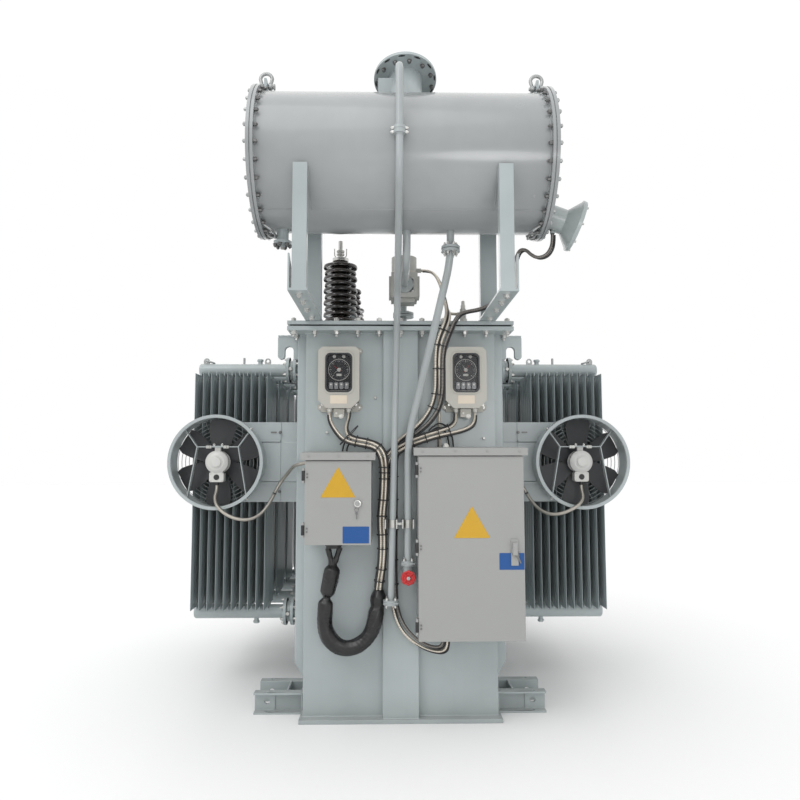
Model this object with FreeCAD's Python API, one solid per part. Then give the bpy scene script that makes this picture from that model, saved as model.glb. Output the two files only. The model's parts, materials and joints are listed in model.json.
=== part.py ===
"""Oil-filled power transformer with a conservator, radiators and two cooling fans.

Millimetres, +Z up. The origin is on the floor, under the middle of the tank.
The front of the transformer, with its cabinets, gauges and fans, faces -Y.
"""
import math
import os

import FreeCAD
import Part

os.makedirs("parts", exist_ok=True)
V = FreeCAD.Vector
x_axis = V(1, 0, 0)
y_axis = V(0, 1, 0)
z_axis = V(0, 0, 1)

# Tank
tank_width = 985.0
tank_length = 2260.0
tank_wall = 10.0
base_thickness = 20.0
base_lip_side = 14.0
base_lip_end = 55.0
cover_top = 2010.0
cover_thickness = 20.0
gasket_thickness = 8.0
gasket_inset = 14.0
rim_thickness = 22.0
rim_overhang = 88.0
pilaster_width = 180.0
pilaster_depth = 40.0
stiffener_width = 100.0
stiffener_depth = 50.0
stiffener_foot = 180.0
stiffener_taper = 90.0
stiffener_setback = 110.0

# Lifting hooks
hook_thickness = 30.0
hook_reach = 112.0
hook_height = 125.0
hook_neck = 28.0
hook_slot = 46.0
hook_slot_top = 56.0

# Skids
skid_length = 261.5
skid_height = 106.0
skid_depth = 251.0
skid_flange_width = 56.0
skid_flange = 10.0
skid_web = 8.0
skid_setback = 85.0
skid_rib_inset = 91.5
skid_pad = 105.0
pull_hole_radius = 14.0
anchor_hole_radius = 9.0
skid_hole_inset = 64.0

# Radiators
radiator_count = 4
radiator_pitch = 420.0
fin_count = 10
fin_pitch = 45.0
fin_first_inset = 93.0
fin_width = 310.0
fin_edge = 3.0
fin_core = 10.0
fin_seam = 12.0
fin_gap_low = 34.0
fin_gap_high = 36.0
fin_flat_end = 55.0
header_radius = 38.0
header_low_z = 431.0
header_high_drop = 135.0
header_end = 18.0
lug_width = 36.0
lug_thickness = 8.0
lug_height = 34.0
lug_hole_radius = 9.0
valve_stub = 110.5
valve_stub_radius = 45.0
valve_flange_radius = 77.0
valve_flange = 17.0
valve_body_radius = 58.0
valve_body = 23.0

# Fans
fan_aside = 243.0
fan_drop = 538.0
fan_clearance = 21.0
shroud_radius = 250.0
shroud_wall = 4.0
shroud_depth = 151.0
shroud_lip = 14.0
motor_radius = 62.0
motor_length = 88.0
motor_setback = 20.0
motor_nose = 12.0
motor_nose_share = 0.72
motor_cap = 8.0
motor_cap_share = 0.45
motor_foot_width = 64.0
terminal_width = 74.0
terminal_setback = 16.0
terminal_depth = 58.0
terminal_drop = 46.0
fan_gland_setback = 32.0
fan_gland_length = 18.0
strip_thickness = 5.0
strip_depth = 30.0
frame_bar_gap = 21.0
frame_bar_half = 112.0
frame_arm = (0.74, 0.74)
frame_leg = (0.66, -0.82)
hub_radius = 45.0
hub_gap = 6.0
shaft_sunk = 25.0
blade_root = 8.0
blade_half_chord = 38.0
blade_thickness = 4.0
blade_tip_gap = 11.0
blade_count = 6
shaft_radius = 10.0
guard_rings = 9
guard_wire = 4.0
guard_spokes = 8
bracket_sheet = 4.0
bracket_height = 444.0
bracket_band = 214.0
bracket_band_rise = 7.0
bracket_fold = 14.0
bracket_inner = 172.5
bracket_lap = 10.0
fit_gap = 0.05

# Conservator
conservator_radius = 319.0
conservator_wall = 8.0
conservator_half = 640.0
conservator_clearance = 362.0
conservator_setback = -410.0
end_rim = 30.0
end_rim_thickness = 12.0
end_gasket = 5.0
end_gasket_inset = 6.0
end_cover = 14.0
support_x = 446.0
support_width = 84.0
support_sheet = 8.0
front_post_x = 440.0
front_post_width = 62.0
front_post_gap = 6.0
front_post_depth = 50.0
front_post_drop = 125.0
rear_post_inset = 47.0
rear_post_depth = 60.0
rear_post_drop = 101.0
arm_height = 12.0
arm_rear_setback = 160.0
cheek_knee = 90.0
cheek_low = 40.0
cheek_middle = 60.0
cheek_high = 150.0
eye_thickness = 12.0
eye_width = 60.0
eye_height = 62.0
eye_sunk = 1.5
eye_hole_radius = 16.0
plug_places = (-370.0, 406.0)
plug_radius = 15.0
plug_rise = 22.0
sump_x = -559.0
sump_radius = 28.0
sump_drop = 52.0
sump_flange = 14.0
sump_flange_radius = 42.0

# Vent on top of the conservator
vent_x = 16.0
vent_radius = 80.0
vent_tilt = 20.0
vent_ring_radius = 149.0
vent_ring = 16.0
vent_rise = 100.0
vent_lid = 12.0
vent_lid_inset = 10.0
vent_reach = 200.0
vent_block_x = (-112.0, -24.0)
vent_block_y = (-74.0, -54.0)
vent_block_drop = 28.0

# Oil level gauge on the conservator's right end
level_tilt = 20.0
level_inset = 80.0
level_setback = -440.0
level_sunk = 30.0
level_radius = 58.0
level_body = 132.0
level_flare_start = 122.0
level_flare = 52.0
level_flare_radius = 116.0
level_dial = 9.0
level_dial_radius = 120.0
level_gland_drop = 98.0

# Pipes
pipe_radius = 16.5
breather_x = -17.0
breather_gap = 14.5
breather_top_drop = 32.0
breather_bend_drop = 118.0
breather_knee_inset = 148.0
breather_return_rise = 85.0
breather_shift = 33.0
breather_foot = 604.0
coupling_drop = 11.0
coupling_length = 34.0
coupling_radius = 25.0
flange_radius = 38.0
flange_thickness = 11.0
flange_gap = 2.0
drain_radius = 18.0
drain_x = 34.0
drain_top_x = 228.0
drain_knee_rise = 225.0
drain_straight_z = 1400.0
drain_flange_z = 793.0
drain_flange = 12.0
drain_flange_radius = 34.0
drain_collar_drop = 86.0
collar_radius = 44.0
collar_thickness = 12.0
collar_gap = 3.0
valve_z = 731.0
valve_radius = 24.0
valve_height = 36.0
bonnet_length = 40.0
bonnet_radius = 17.0
stem_radius = 6.0
stem_past_wheel = 20.0
wheel_radius = 36.0
wheel_rim = 5.0
wheel_reach = 62.0
wheel_hub = 9.0
wheel_hub_radius = 12.0
wheel_spoke_radius = 4.5
clamp_z = 985.0
clamp_height = 40.0
clamp_wall = 6.0
clamp_slack = 0.6
clamp_bar = 12.0
pipe_front = -125.0
relay_x = 22.0
relay_setback = 20.0
relay_length = 180.0
relay_rise = 215.0
relay_pipe_radius = 19.0
relay_pipe_run = 90.0
relay_flange = 14.0
relay_flange_radius = 46.0
relay_half = 70.0
relay_half_height = 67.0
relay_window = 12.0
relay_window_inset = 40.0
relay_cap = 99.0
relay_cap_radius = 68.0
relay_base_half = 56.0
relay_base = 18.0
relay_gland_rise = 99.0
relay_gland_reach = 92.0
relay_valve_rise = 104.0
relay_valve_radius = 58.0
pocket_x = 334.0
pocket_setback = 44.0
pocket_foot = 14.0
pocket_foot_radius = 26.0
pocket_radius = 17.0
pocket_height = 88.0
pocket_gland_rise = 62.0
pocket_gland_reach = 30.0

# Gauges
gauge_width = 208.0
gauge_height = 312.0
gauge_depth = 90.0
gauge_setback = -18.0
gauge_chamfer = 40.0
gauge_ear = 7.0
gauge_gland_x = 48.0
gauge_gland_setback = -58.0
gauge_z = 1716.0
left_gauge_x = -314.0
right_gauge_x = 331.0
window_width = 136.0
window_height = 200.0
window_lift = 24.0
window_recess = 22.0
window_glass = 3.0
gland_radius = 10.0
gland_length = 24.0

# Control cabinets
sheet = 3.0
door_depth = 18.0
door_gap = 5.0
hinge_offset = 7.0
knuckle_radius = 6.0
knuckle_length = 24.0
hinge_leaf = 6.0
hinge_leaf_rear = 26.0
mouth_lip = 18.0
hood_overhang = 20.0
hood_front = 36.0
hood_rear = 44.0
left_cabinet_x = (-468.0, -146.0)
left_cabinet_z = (892.0, 1299.0)
left_cabinet_y = (-30.0, -190.0)
right_cabinet_x = (80.0, 586.0)
right_cabinet_z = (448.0, 1321.0)
right_cabinet_y = (-50.0, -235.0)
left_hinges = (left_cabinet_z[0] + 71.0, left_cabinet_z[1] - 75.0)
right_hinges = (right_cabinet_z[0] + 67.0, (right_cabinet_z[0] + right_cabinet_z[1]) / 2, right_cabinet_z[1] - 69.0)
lock_place = (-212.0, 1090.0)
lock_radius = 19.0
lock_length = 10.0
handle_place = (538.0, 862.0)
handle_plate_width = 34.0
handle_plate_height = 124.0
handle_plate_depth = 7.0
lever_width = 22.0
lever_depth = 15.0
lever_z = (-12.0, 46.0)
bar_height = 40.0
bar_end = (10.0, 30.0)
left_bar_inset = 60.0
right_bar_inset = 110.0
right_bar_width = 60.0
right_bar_places = (102.0, 402.5)

# Bushings: core and shed radius, height, sheds, stud radius and stud height
hv_x = -340.0
hv_places = (350.0, 950.0, 1550.0)
hv_size = (60.0, 98.0, 454.0, 9, 12.0, 97.0)
lv_x = 300.0
lv_places = (1050.0, 1350.0, 1650.0, 1950.0)
lv_size = (34.0, 56.0, 130.0, 3, 10.0, 56.0)
bushing_foot = 14.0
small_shed_share = 0.9

# Cables
lead_radius = 8.0
fan_lead_radius = 9.0
sleeve_radius = 38.0
sleeve_place = (-333.0, -110.0)
sleeve_gland_length = 26.0
collar_length = 14.0
lead_gland_places = (204.0, 226.0)
lead_gland_setback = -126.0
lead_gland_length = 18.0

front = -tank_length / 2
half_width = tank_width / 2
cover_underside = cover_top - cover_thickness
gasket_underside = cover_underside - gasket_thickness
rim_underside = gasket_underside - rim_thickness
rim_x = half_width + rim_overhang
rim_y = tank_length / 2 + rim_overhang
skid_reach = half_width + skid_length
skid_rib_x = half_width + skid_rib_inset
valve_x = half_width + valve_stub
header_start_x = valve_x + 2 * valve_flange + valve_body
fin_first_x = header_start_x + fin_first_inset
header_high_z = rim_underside - header_high_drop
fin_bottom = header_low_z + fin_gap_low
fin_top = header_high_z - fin_gap_high
fan_x = fin_first_x + fan_aside
fan_z = header_high_z - fan_drop
frame_bar_rise = motor_radius + frame_bar_gap
bracket_split_x = half_width + bracket_inner
conservator_z = cover_top + conservator_clearance + conservator_radius
end_rim_radius = conservator_radius + end_rim
front_post_setback = conservator_setback - conservator_radius - front_post_gap
front_post_top = conservator_z - front_post_drop
rear_post_setback = conservator_setback + conservator_radius - rear_post_inset
rear_post_top = conservator_z - rear_post_drop
vent_ring_z = conservator_z + conservator_radius + vent_rise
level_z = conservator_z - conservator_radius + level_inset
level_gland_z = level_z - level_gland_drop
breather_setback = conservator_setback - conservator_radius - pipe_radius - breather_gap
breather_top = vent_ring_z - breather_top_drop
breather_bend_z = vent_ring_z - breather_bend_drop
breather_knee_z = conservator_z - conservator_radius + breather_knee_inset
breather_return_z = cover_top + breather_return_rise
coupling_z = conservator_z - coupling_drop
drain_knee_z = cover_top + drain_knee_rise
relay_z = cover_top + relay_rise
relay_body_z = (relay_z - relay_half_height, relay_z + relay_half_height)
relay_cap_top = relay_body_z[1] + relay_cap
relay_gland_z = relay_z + relay_gland_rise
relay_valve_z = cover_top + relay_valve_rise
pocket_gland_z = cover_top + pocket_gland_rise


def out(y):
    """A place given from the front wall, with the part's interior positive, in the part's frame."""
    return front + y


def box(x, y, z):
    """A box between two limits on each axis, in any order."""
    low = V(min(x), min(y), min(z))
    return Part.makeBox(abs(x[1] - x[0]), abs(y[1] - y[0]), abs(z[1] - z[0]), low)


def rod(start, end, radius):
    """A cylinder from one point to another."""
    way = V(*end) - V(*start)
    return Part.makeCylinder(radius, way.Length, V(*start), way)


def ring(start, end, outer, inner):
    """A tube from one point to another."""
    return rod(start, end, outer).cut(rod(start, end, inner))


def slab(points, way):
    """A flat outline pushed along a vector."""
    corners = [V(*point) for point in points]
    return Part.Face(Part.makePolygon(corners + corners[:1])).extrude(V(*way))


def joined(shapes):
    """One solid from several that touch."""
    return shapes[0].fuse(shapes[1:]).removeSplitter()


def flip_x(shape):
    return shape.mirror(V(0, 0, 0), x_axis)


def flip_y(shape):
    return shape.mirror(V(0, 0, 0), y_axis)


def route(points, share=0.45):
    """Straight runs joined by arcs, each as large as the two runs beside it allow."""
    corners = [V(*point) for point in points]
    edges = []
    radii = []
    last = corners[0]
    for before, corner, after in zip(corners, corners[1:], corners[2:]):
        come = (corner - before).normalize()
        leave = (after - corner).normalize()
        reach = share * min((corner - before).Length, (after - corner).Length)
        half_turn = come.getAngle(leave) / 2
        radii.append(reach / math.tan(half_turn))
        start = corner - come * reach
        end = corner + leave * reach
        sag = radii[-1] * (1 / math.cos(half_turn) - 1)
        middle = corner + (leave - come).normalize() * sag
        edges.append(Part.LineSegment(last, start).toShape())
        edges.append(Part.Arc(start, middle, end).toShape())
        last = end
    edges.append(Part.LineSegment(last, corners[-1]).toShape())
    return Part.Wire(edges), radii


def tube(points, radius, share=0.45):
    """A round bar along a route."""
    path, radii = route(points, share)
    way = V(*points[1]) - V(*points[0])
    circle = Part.Wire(Part.makeCircle(radius, V(*points[0]), way))
    solid = path.makePipeShell([circle], True, False)
    wanted = math.pi * radius ** 2 * path.Length
    if abs(solid.Volume - wanted) > 0.01 * wanted:
        print("  tube volume is off:", round(solid.Volume / wanted, 4))
    return solid, radii


def save(name, shapes):
    """Write one node, which holds one solid or several that don't touch."""
    solids = [solid for shape in shapes for solid in shape.Solids]
    if not all(solid.isValid() for solid in solids):
        print("  not valid:", name)
    shape = solids[0] if len(solids) == 1 else Part.makeCompound(solids)
    shape.exportStep(f"parts/{name}.step")
    bounds = shape.BoundBox
    print(f"{name}: {len(solids)} solids, x {bounds.XMin:.0f} {bounds.XMax:.0f}, "
          f"y {bounds.YMin:.0f} {bounds.YMax:.0f}, z {bounds.ZMin:.0f} {bounds.ZMax:.0f}")


# Tank
def tank_walls():
    outer = box((-half_width, half_width), (front, -front), (base_thickness, rim_underside))
    inner_x = half_width - tank_wall
    inner_y = -front - tank_wall
    return outer.cut(box((-inner_x, inner_x), (-inner_y, inner_y), (0, cover_top)))


def base_plate():
    x = half_width + base_lip_side
    y = tank_length / 2 + base_lip_end
    return box((-x, x), (-y, y), (0, base_thickness))


def end_stiffener():
    x = pilaster_width / 2
    return box((-x, x), (out(0), out(-pilaster_depth)), (base_thickness, rim_underside))


def side_stiffener(y):
    """A box section up the long side, closed by a slope above the skids."""
    outer_x = half_width + stiffener_depth
    outline = [(half_width, y, stiffener_foot), (outer_x, y, stiffener_foot + stiffener_taper),
               (outer_x, y, rim_underside), (half_width, y, rim_underside)]
    bar = slab(outline, (0, stiffener_width, 0))
    bar.translate(V(0, -stiffener_width / 2, 0))
    return bar


def lifting_hook(y):
    """A plate that hooks over a sling, with its slot open at the bottom."""
    inner_x = half_width + stiffener_depth
    outer_x = inner_x + hook_reach
    low_z = rim_underside - hook_height
    plate = box((inner_x, outer_x), (y - hook_thickness / 2, y + hook_thickness / 2), (low_z, rim_underside))
    slot_middle = inner_x + hook_neck + hook_slot / 2
    crown = rim_underside - hook_slot_top - hook_slot / 2
    straight = box((slot_middle - hook_slot / 2, slot_middle + hook_slot / 2),
                   (y - hook_thickness, y + hook_thickness), (low_z - 1, crown))
    arch = rod((slot_middle, y - hook_thickness, crown), (slot_middle, y + hook_thickness, crown), hook_slot / 2)
    return plate.cut([straight, arch])


def tank_rim():
    inner_x = half_width - tank_wall
    inner_y = -front - tank_wall
    plate = box((-rim_x, rim_x), (-rim_y, rim_y), (rim_underside, gasket_underside))
    return plate.cut(box((-inner_x, inner_x), (-inner_y, inner_y), (0, cover_top)))


def cover_gasket():
    x = rim_x - gasket_inset
    y = rim_y - gasket_inset
    inner_x = half_width - tank_wall
    inner_y = -front - tank_wall
    band = box((-x, x), (-y, y), (gasket_underside, cover_underside))
    return band.cut(box((-inner_x, inner_x), (-inner_y, inner_y), (0, cover_top)))


def cover_plate():
    return box((-rim_x, rim_x), (-rim_y, rim_y), (cover_underside, cover_top))


def skid():
    """One outrigger: two channels back to back, joined by a rib and holed for pulling and anchoring."""
    inner_x = half_width
    y = out(skid_setback)
    web_y = y + skid_flange_width - skid_web
    channel = [(y, 0), (y + skid_flange_width, 0), (y + skid_flange_width, skid_height), (y, skid_height),
               (y, skid_height - skid_flange), (web_y, skid_height - skid_flange), (web_y, skid_flange),
               (y, skid_flange)]
    front_channel = slab([(inner_x, *point) for point in channel], (skid_reach - inner_x, 0, 0))
    hole_x = skid_reach - skid_hole_inset
    middle_z = skid_height / 2
    pad = box((skid_reach - skid_pad, skid_reach), (web_y - skid_web, web_y),
              (skid_flange, skid_height - skid_flange))
    hole = rod((hole_x, y - 1, middle_z), (hole_x, y + skid_flange_width + 1, middle_z), pull_hole_radius)
    anchor_y = y + (skid_flange_width - 2 * skid_web) / 2
    anchor = rod((hole_x, anchor_y, -1), (hole_x, anchor_y, skid_height + 1), anchor_hole_radius)
    front_channel = joined([front_channel, pad]).cut([hole, anchor])
    middle_y = y + skid_depth / 2
    rear_channel = front_channel.mirror(V(0, middle_y, 0), y_axis)
    rib = box((skid_rib_x, skid_rib_x + skid_web),
              (y + skid_flange_width, y + skid_depth - skid_flange_width), (0, skid_height))
    end_bar = box((inner_x, inner_x + base_lip_side + skid_web),
                  (y + skid_flange_width, y + skid_depth - skid_flange_width), (0, skid_height))
    return joined([front_channel, rear_channel, rib, end_bar]).cut(base_plate())


def build_tank():
    save("tank_walls", [tank_walls()])
    save("base_plate", [base_plate()])
    save("end_stiffeners", [end_stiffener(), flip_y(end_stiffener())])
    between = [radiator_y(index) + radiator_pitch / 2 for index in range(radiator_count - 1)]
    ends = [out(stiffener_setback), -out(stiffener_setback)]
    right = [side_stiffener(y) for y in ends + between]
    save("side_stiffeners", right + [flip_x(bar) for bar in right])
    hooks = [lifting_hook(y) for y in ends]
    save("lifting_hooks", hooks + [flip_x(hook) for hook in hooks])
    save("tank_rim", [tank_rim()])
    save("cover_gasket", [cover_gasket()])
    save("cover_plate", [cover_plate()])
    skids = [skid(), flip_y(skid())]
    save("skids", skids + [flip_x(one) for one in skids])


# Radiators
def radiator_y(index):
    """The middle of a radiator, in a row centred on the tank."""
    return (index - (radiator_count - 1) / 2) * radiator_pitch


def fin(x, y):
    """A pressed panel: a thin welded seam all round a thicker core, with a neck to each header."""
    half = fin_width / 2
    thin = box((x - fin_edge / 2, x + fin_edge / 2), (y - half, y + half), (fin_bottom, fin_top))
    shoulder = fin_seam + (fin_core - fin_edge) / 2
    outline = [(fin_edge / 2, -half + fin_seam), (fin_core / 2, -half + shoulder),
               (fin_core / 2, half - shoulder), (fin_edge / 2, half - fin_seam),
               (-fin_edge / 2, half - fin_seam), (-fin_core / 2, half - shoulder),
               (-fin_core / 2, -half + shoulder), (-fin_edge / 2, -half + fin_seam)]
    core_low = fin_bottom + fin_flat_end
    core = slab([(x + dx, y + dy, core_low) for dx, dy in outline], (0, 0, fin_top - fin_flat_end - core_low))
    necks = box((x - fin_core / 2, x + fin_core / 2), (y - header_radius, y + header_radius),
                (header_low_z, header_high_z))
    return [thin, core, necks]


def radiator(y):
    outer_x = fin_first_x + (fin_count - 1) * fin_pitch + header_end
    shapes = []
    for z in (header_low_z, header_high_z):
        shapes.append(rod((header_start_x, y, z), (outer_x, y, z), header_radius))
    for index in range(fin_count):
        shapes += fin(fin_first_x + index * fin_pitch, y)
    lug_top = header_high_z + header_radius + lug_height
    hole_z = lug_top - lug_height / 2
    for x in (fin_first_x + fin_pitch / 2, fin_first_x + (fin_count - 1.5) * fin_pitch):
        lug = box((x - lug_width / 2, x + lug_width / 2), (y - lug_thickness / 2, y + lug_thickness / 2),
                  (header_high_z, lug_top))
        hole = rod((x, y - lug_thickness, hole_z), (x, y + lug_thickness, hole_z), lug_hole_radius)
        shapes.append(lug.cut(hole))
    return joined(shapes)


def radiator_valve(y, z):
    """A stub from the tank wall with a flanged shut-off valve."""
    first = valve_x
    second = first + valve_flange
    third = second + valve_body
    last = third + valve_flange
    return joined([
        rod((half_width, y, z), (first, y, z), valve_stub_radius),
        rod((first, y, z), (second, y, z), valve_flange_radius),
        rod((second, y, z), (third, y, z), valve_body_radius),
        rod((third, y, z), (last, y, z), valve_flange_radius),
    ])


def build_radiators():
    places = [radiator_y(index) for index in range(radiator_count)]
    right = [radiator(y) for y in places]
    save("right_radiators", right)
    save("left_radiators", [flip_x(one) for one in right])
    valves = [radiator_valve(y, z) for y in places for z in (header_low_z, header_high_z)]
    save("radiator_valves", valves + [flip_x(valve) for valve in valves])


# Fans
shroud_rear = radiator_y(0) - fin_width / 2 - fan_clearance
shroud_front = shroud_rear - shroud_depth
motor_front = shroud_front + motor_setback
motor_rear = motor_front + motor_length
guard_y = shroud_rear - guard_wire


def fan_shroud():
    barrel = ring((fan_x, shroud_front, fan_z), (fan_x, shroud_rear, fan_z), shroud_radius,
                  shroud_radius - shroud_wall)
    lip = ring((fan_x, shroud_front, fan_z), (fan_x, shroud_front + shroud_wall, fan_z),
               shroud_radius + shroud_lip / 2, shroud_radius - shroud_wall)
    return joined([barrel, lip])


def fan_bracket():
    """A folded panel from the tank's side to the shroud, in two overlapping lengths."""
    half = bracket_height / 2
    band = bracket_band / 2
    rise = bracket_band_rise
    rear = shroud_rear
    fold = rear + bracket_fold
    face = rear - bracket_sheet
    front_side = [(face, -band - rise), (face - rise, -band), (face - rise, band), (face, band + rise), (face, half)]
    rear_side = [(fold, half), (fold, half - bracket_sheet), (rear, half - bracket_sheet), (rear, band + rise),
                 (rear - rise, band), (rear - rise, -band), (rear, -band - rise), (rear, -half + bracket_sheet),
                 (fold, -half + bracket_sheet), (fold, -half), (face, -half)]
    outline = front_side + rear_side
    inner = slab([(half_width, y, fan_z + z) for y, z in outline],
                 (bracket_split_x + bracket_lap - half_width, 0, 0))
    reach = fan_x - bracket_split_x - math.sqrt(shroud_radius ** 2 - half ** 2)
    outer = slab([(bracket_split_x, y - bracket_sheet, fan_z + z) for y, z in outline],
                 (reach + bracket_lap, 0, 0))
    hole = rod((fan_x, shroud_front, fan_z), (fan_x, fold + bracket_fold, fan_z), shroud_radius)
    return joined([inner, outer.cut(hole)])


def strip(start, end):
    """A flat strip on edge between two points of the fan's plane, measured from its centre."""
    along = V(end[0] - start[0], 0, end[1] - start[1])
    side = V(-along.z, 0, along.x).normalize() * (strip_thickness / 2)
    base = V(fan_x + start[0], motor_front + motor_length / 3, fan_z + start[1])
    corners = [base + side, base + side + along, base - side + along, base - side]
    return slab([tuple(corner) for corner in corners], (0, strip_depth, 0))


def fan_frame():
    """Strips that hang the motor in the shroud: a bar over it, two arms up and two legs down."""
    inside = shroud_radius - shroud_wall
    shapes = [strip((-frame_bar_half, frame_bar_rise), (frame_bar_half, frame_bar_rise))]
    for side in (-1, 1):
        for across, up in (frame_arm, frame_leg):
            shapes.append(strip((side * frame_bar_half, frame_bar_rise), (side * inside * across, inside * up)))
    bore = rod((fan_x, shroud_front, fan_z), (fan_x, shroud_rear, fan_z), inside)
    return joined(shapes).common(bore)


def fan_motor():
    """A closed motor under the frame's bar, with a terminal box and gland below it."""
    body = rod((fan_x, motor_front + motor_nose, fan_z), (fan_x, motor_rear, fan_z), motor_radius)
    nose = Part.makeCone(motor_radius * motor_nose_share, motor_radius, motor_nose,
                         V(fan_x, motor_front, fan_z), y_axis)
    cap = rod((fan_x, motor_front - motor_cap, fan_z), (fan_x, motor_front, fan_z),
              motor_radius * motor_cap_share)
    inside = motor_radius - motor_nose
    foot_y = motor_front + motor_length / 3
    foot = box((fan_x - motor_foot_width / 2, fan_x + motor_foot_width / 2), (foot_y, foot_y + strip_depth),
               (fan_z + inside, fan_z + frame_bar_rise - strip_thickness / 2))
    box_low = fan_z - motor_radius - terminal_drop
    terminal = box((fan_x - terminal_width / 2, fan_x + terminal_width / 2),
                   (motor_front + terminal_setback, motor_front + terminal_setback + terminal_depth),
                   (box_low, fan_z - inside))
    gland_y = motor_front + fan_gland_setback
    gland = rod((fan_x, gland_y, box_low - fan_gland_length), (fan_x, gland_y, box_low), fan_lead_radius + 3)
    bore = rod((fan_x, motor_rear - shaft_sunk - 5, fan_z), (fan_x, motor_rear + 1, fan_z),
               shaft_radius + fit_gap)
    return joined([body, nose, cap, foot, terminal, gland]).cut(bore)


def fan_rotor():
    """Hub, shaft and pitched blades."""
    tip = shroud_radius - shroud_wall - blade_tip_gap
    hub_front = motor_rear + hub_gap
    hub_rear = guard_y - hub_gap
    shapes = [rod((fan_x, hub_front, fan_z), (fan_x, hub_rear, fan_z), hub_radius),
              rod((fan_x, motor_rear - shaft_sunk, fan_z), (fan_x, hub_front, fan_z), shaft_radius)]
    root_z = fan_z + hub_radius - blade_root
    left = fan_x - blade_half_chord
    right = fan_x + blade_half_chord
    section = [(left - blade_thickness, hub_rear - 2, root_z), (left, hub_rear - 2, root_z),
               (right, hub_front + 1, root_z), (right - blade_thickness, hub_front + 1, root_z)]
    sweep = rod((fan_x, hub_front, fan_z), (fan_x, hub_rear, fan_z), tip)
    blade = slab(section, (0, 0, tip - hub_radius + blade_root)).common(sweep)
    for index in range(blade_count):
        turned = blade.copy()
        turned.rotate(V(fan_x, 0, fan_z), y_axis, 360 * index / blade_count)
        shapes.append(turned)
    return joined(shapes)


def fan_guard():
    """Rings and spokes behind the rotor, the outermost ring seated in the shroud."""
    inside = shroud_radius - shroud_wall
    back = guard_y + guard_wire
    pitch = (inside - hub_radius) / guard_rings
    shapes = [rod((fan_x, guard_y, fan_z), (fan_x, back, fan_z), hub_radius - pitch / 2)]
    for index in range(guard_rings + 1):
        outer = inside - index * pitch
        shapes.append(ring((fan_x, guard_y, fan_z), (fan_x, back, fan_z), outer, outer - guard_wire))
    step = 360 / guard_spokes
    for index in range(guard_spokes):
        spoke = box((fan_x, fan_x + inside - 1), (guard_y, back), (fan_z - guard_wire / 2, fan_z + guard_wire / 2))
        spoke.rotate(V(fan_x, 0, fan_z), y_axis, (index + 0.5) * step)
        shapes.append(spoke)
    return joined(shapes)


def build_fans():
    for name, shape in (("fan_shrouds", fan_shroud()), ("fan_brackets", fan_bracket()),
                        ("fan_frames", fan_frame()), ("fan_motors", fan_motor()),
                        ("fan_guards", fan_guard())):
        save(name, [shape, flip_x(shape)])
    rotor = fan_rotor()
    save("right_fan_rotor", [rotor])
    save("left_fan_rotor", [flip_x(rotor)])


# Conservator
conservator_y = out(conservator_setback)
end_face = conservator_half + end_rim_thickness
vent_lean = V(0, math.sin(math.radians(vent_tilt)), math.cos(math.radians(vent_tilt)))
vent_top = V(vent_x, conservator_y, vent_ring_z)
drain_low = (drain_x, out(pipe_front), drain_flange_z)
wheel_y = out(pipe_front) - wheel_reach


def conservator_point(x):
    return (x, conservator_y, conservator_z)


def conservator_shell():
    body = ring(conservator_point(-conservator_half), conservator_point(conservator_half),
                conservator_radius, conservator_radius - conservator_wall)
    rims = [ring(conservator_point(side * conservator_half), conservator_point(side * end_face),
                 end_rim_radius, conservator_radius - conservator_wall) for side in (-1, 1)]
    return joined([body] + rims)


def conservator_space():
    """The conservator's outside, which its fittings are cut to."""
    return rod(conservator_point(-conservator_half), conservator_point(conservator_half), conservator_radius)


def conservator_end():
    gasket_face = end_face + end_gasket
    return joined([
        rod(conservator_point(end_face), conservator_point(gasket_face), end_rim_radius - end_gasket_inset),
        rod(conservator_point(gasket_face), conservator_point(gasket_face + end_cover), end_rim_radius),
    ])


def support_post(x, width, setback, depth, top):
    """A channel that stands on the arm, open at the back."""
    low, high = x - width / 2, x + width / 2
    start = out(setback)
    foot = cover_top + arm_height
    post = box((low, high), (start, start + depth), (foot, top))
    groove = box((low + support_sheet, high - support_sheet), (start + support_sheet, start + depth + 1),
                 (foot + support_sheet, top + 1))
    return post.cut([groove, conservator_space()])


def support():
    """A front post, a rear post and the arm that carries them past the cover's edge."""
    arm_top = cover_top + arm_height
    low_x = support_x - support_width / 2
    high_x = support_x + support_width / 2
    arm_front = out(front_post_setback)
    arm = box((low_x, high_x), (arm_front, out(arm_rear_setback)), (cover_top, arm_top))
    knee = arm_front + front_post_depth + cheek_knee
    outline = [(arm_front, arm_top), (-rim_y, arm_top), (-rim_y, arm_top + cheek_low),
               (knee, arm_top + cheek_middle), (arm_front, arm_top + cheek_high)]
    cheek = slab([(high_x - support_sheet, y, z) for y, z in outline], (support_sheet, 0, 0))
    return joined([
        arm,
        cheek,
        support_post(front_post_x, front_post_width, front_post_setback, front_post_depth, front_post_top),
        support_post(support_x, support_width, rear_post_setback, rear_post_depth, rear_post_top),
    ])


def vent():
    """A short pipe that leans back from the top of the conservator, with a bolted lid."""
    neck = Part.makeCylinder(vent_radius, vent_reach, vent_top - vent_lean * vent_reach, vent_lean)
    collar = Part.makeCylinder(vent_ring_radius, vent_ring, vent_top, vent_lean)
    lid = Part.makeCylinder(vent_ring_radius - vent_lid_inset, vent_lid, vent_top + vent_lean * vent_ring, vent_lean)
    block = box(vent_block_x, (conservator_y + vent_block_y[0], conservator_y + vent_block_y[1]),
                (conservator_z, vent_ring_z - vent_block_drop))
    return joined([neck.cut(conservator_space()), collar, lid, block.cut(conservator_space())])


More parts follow.
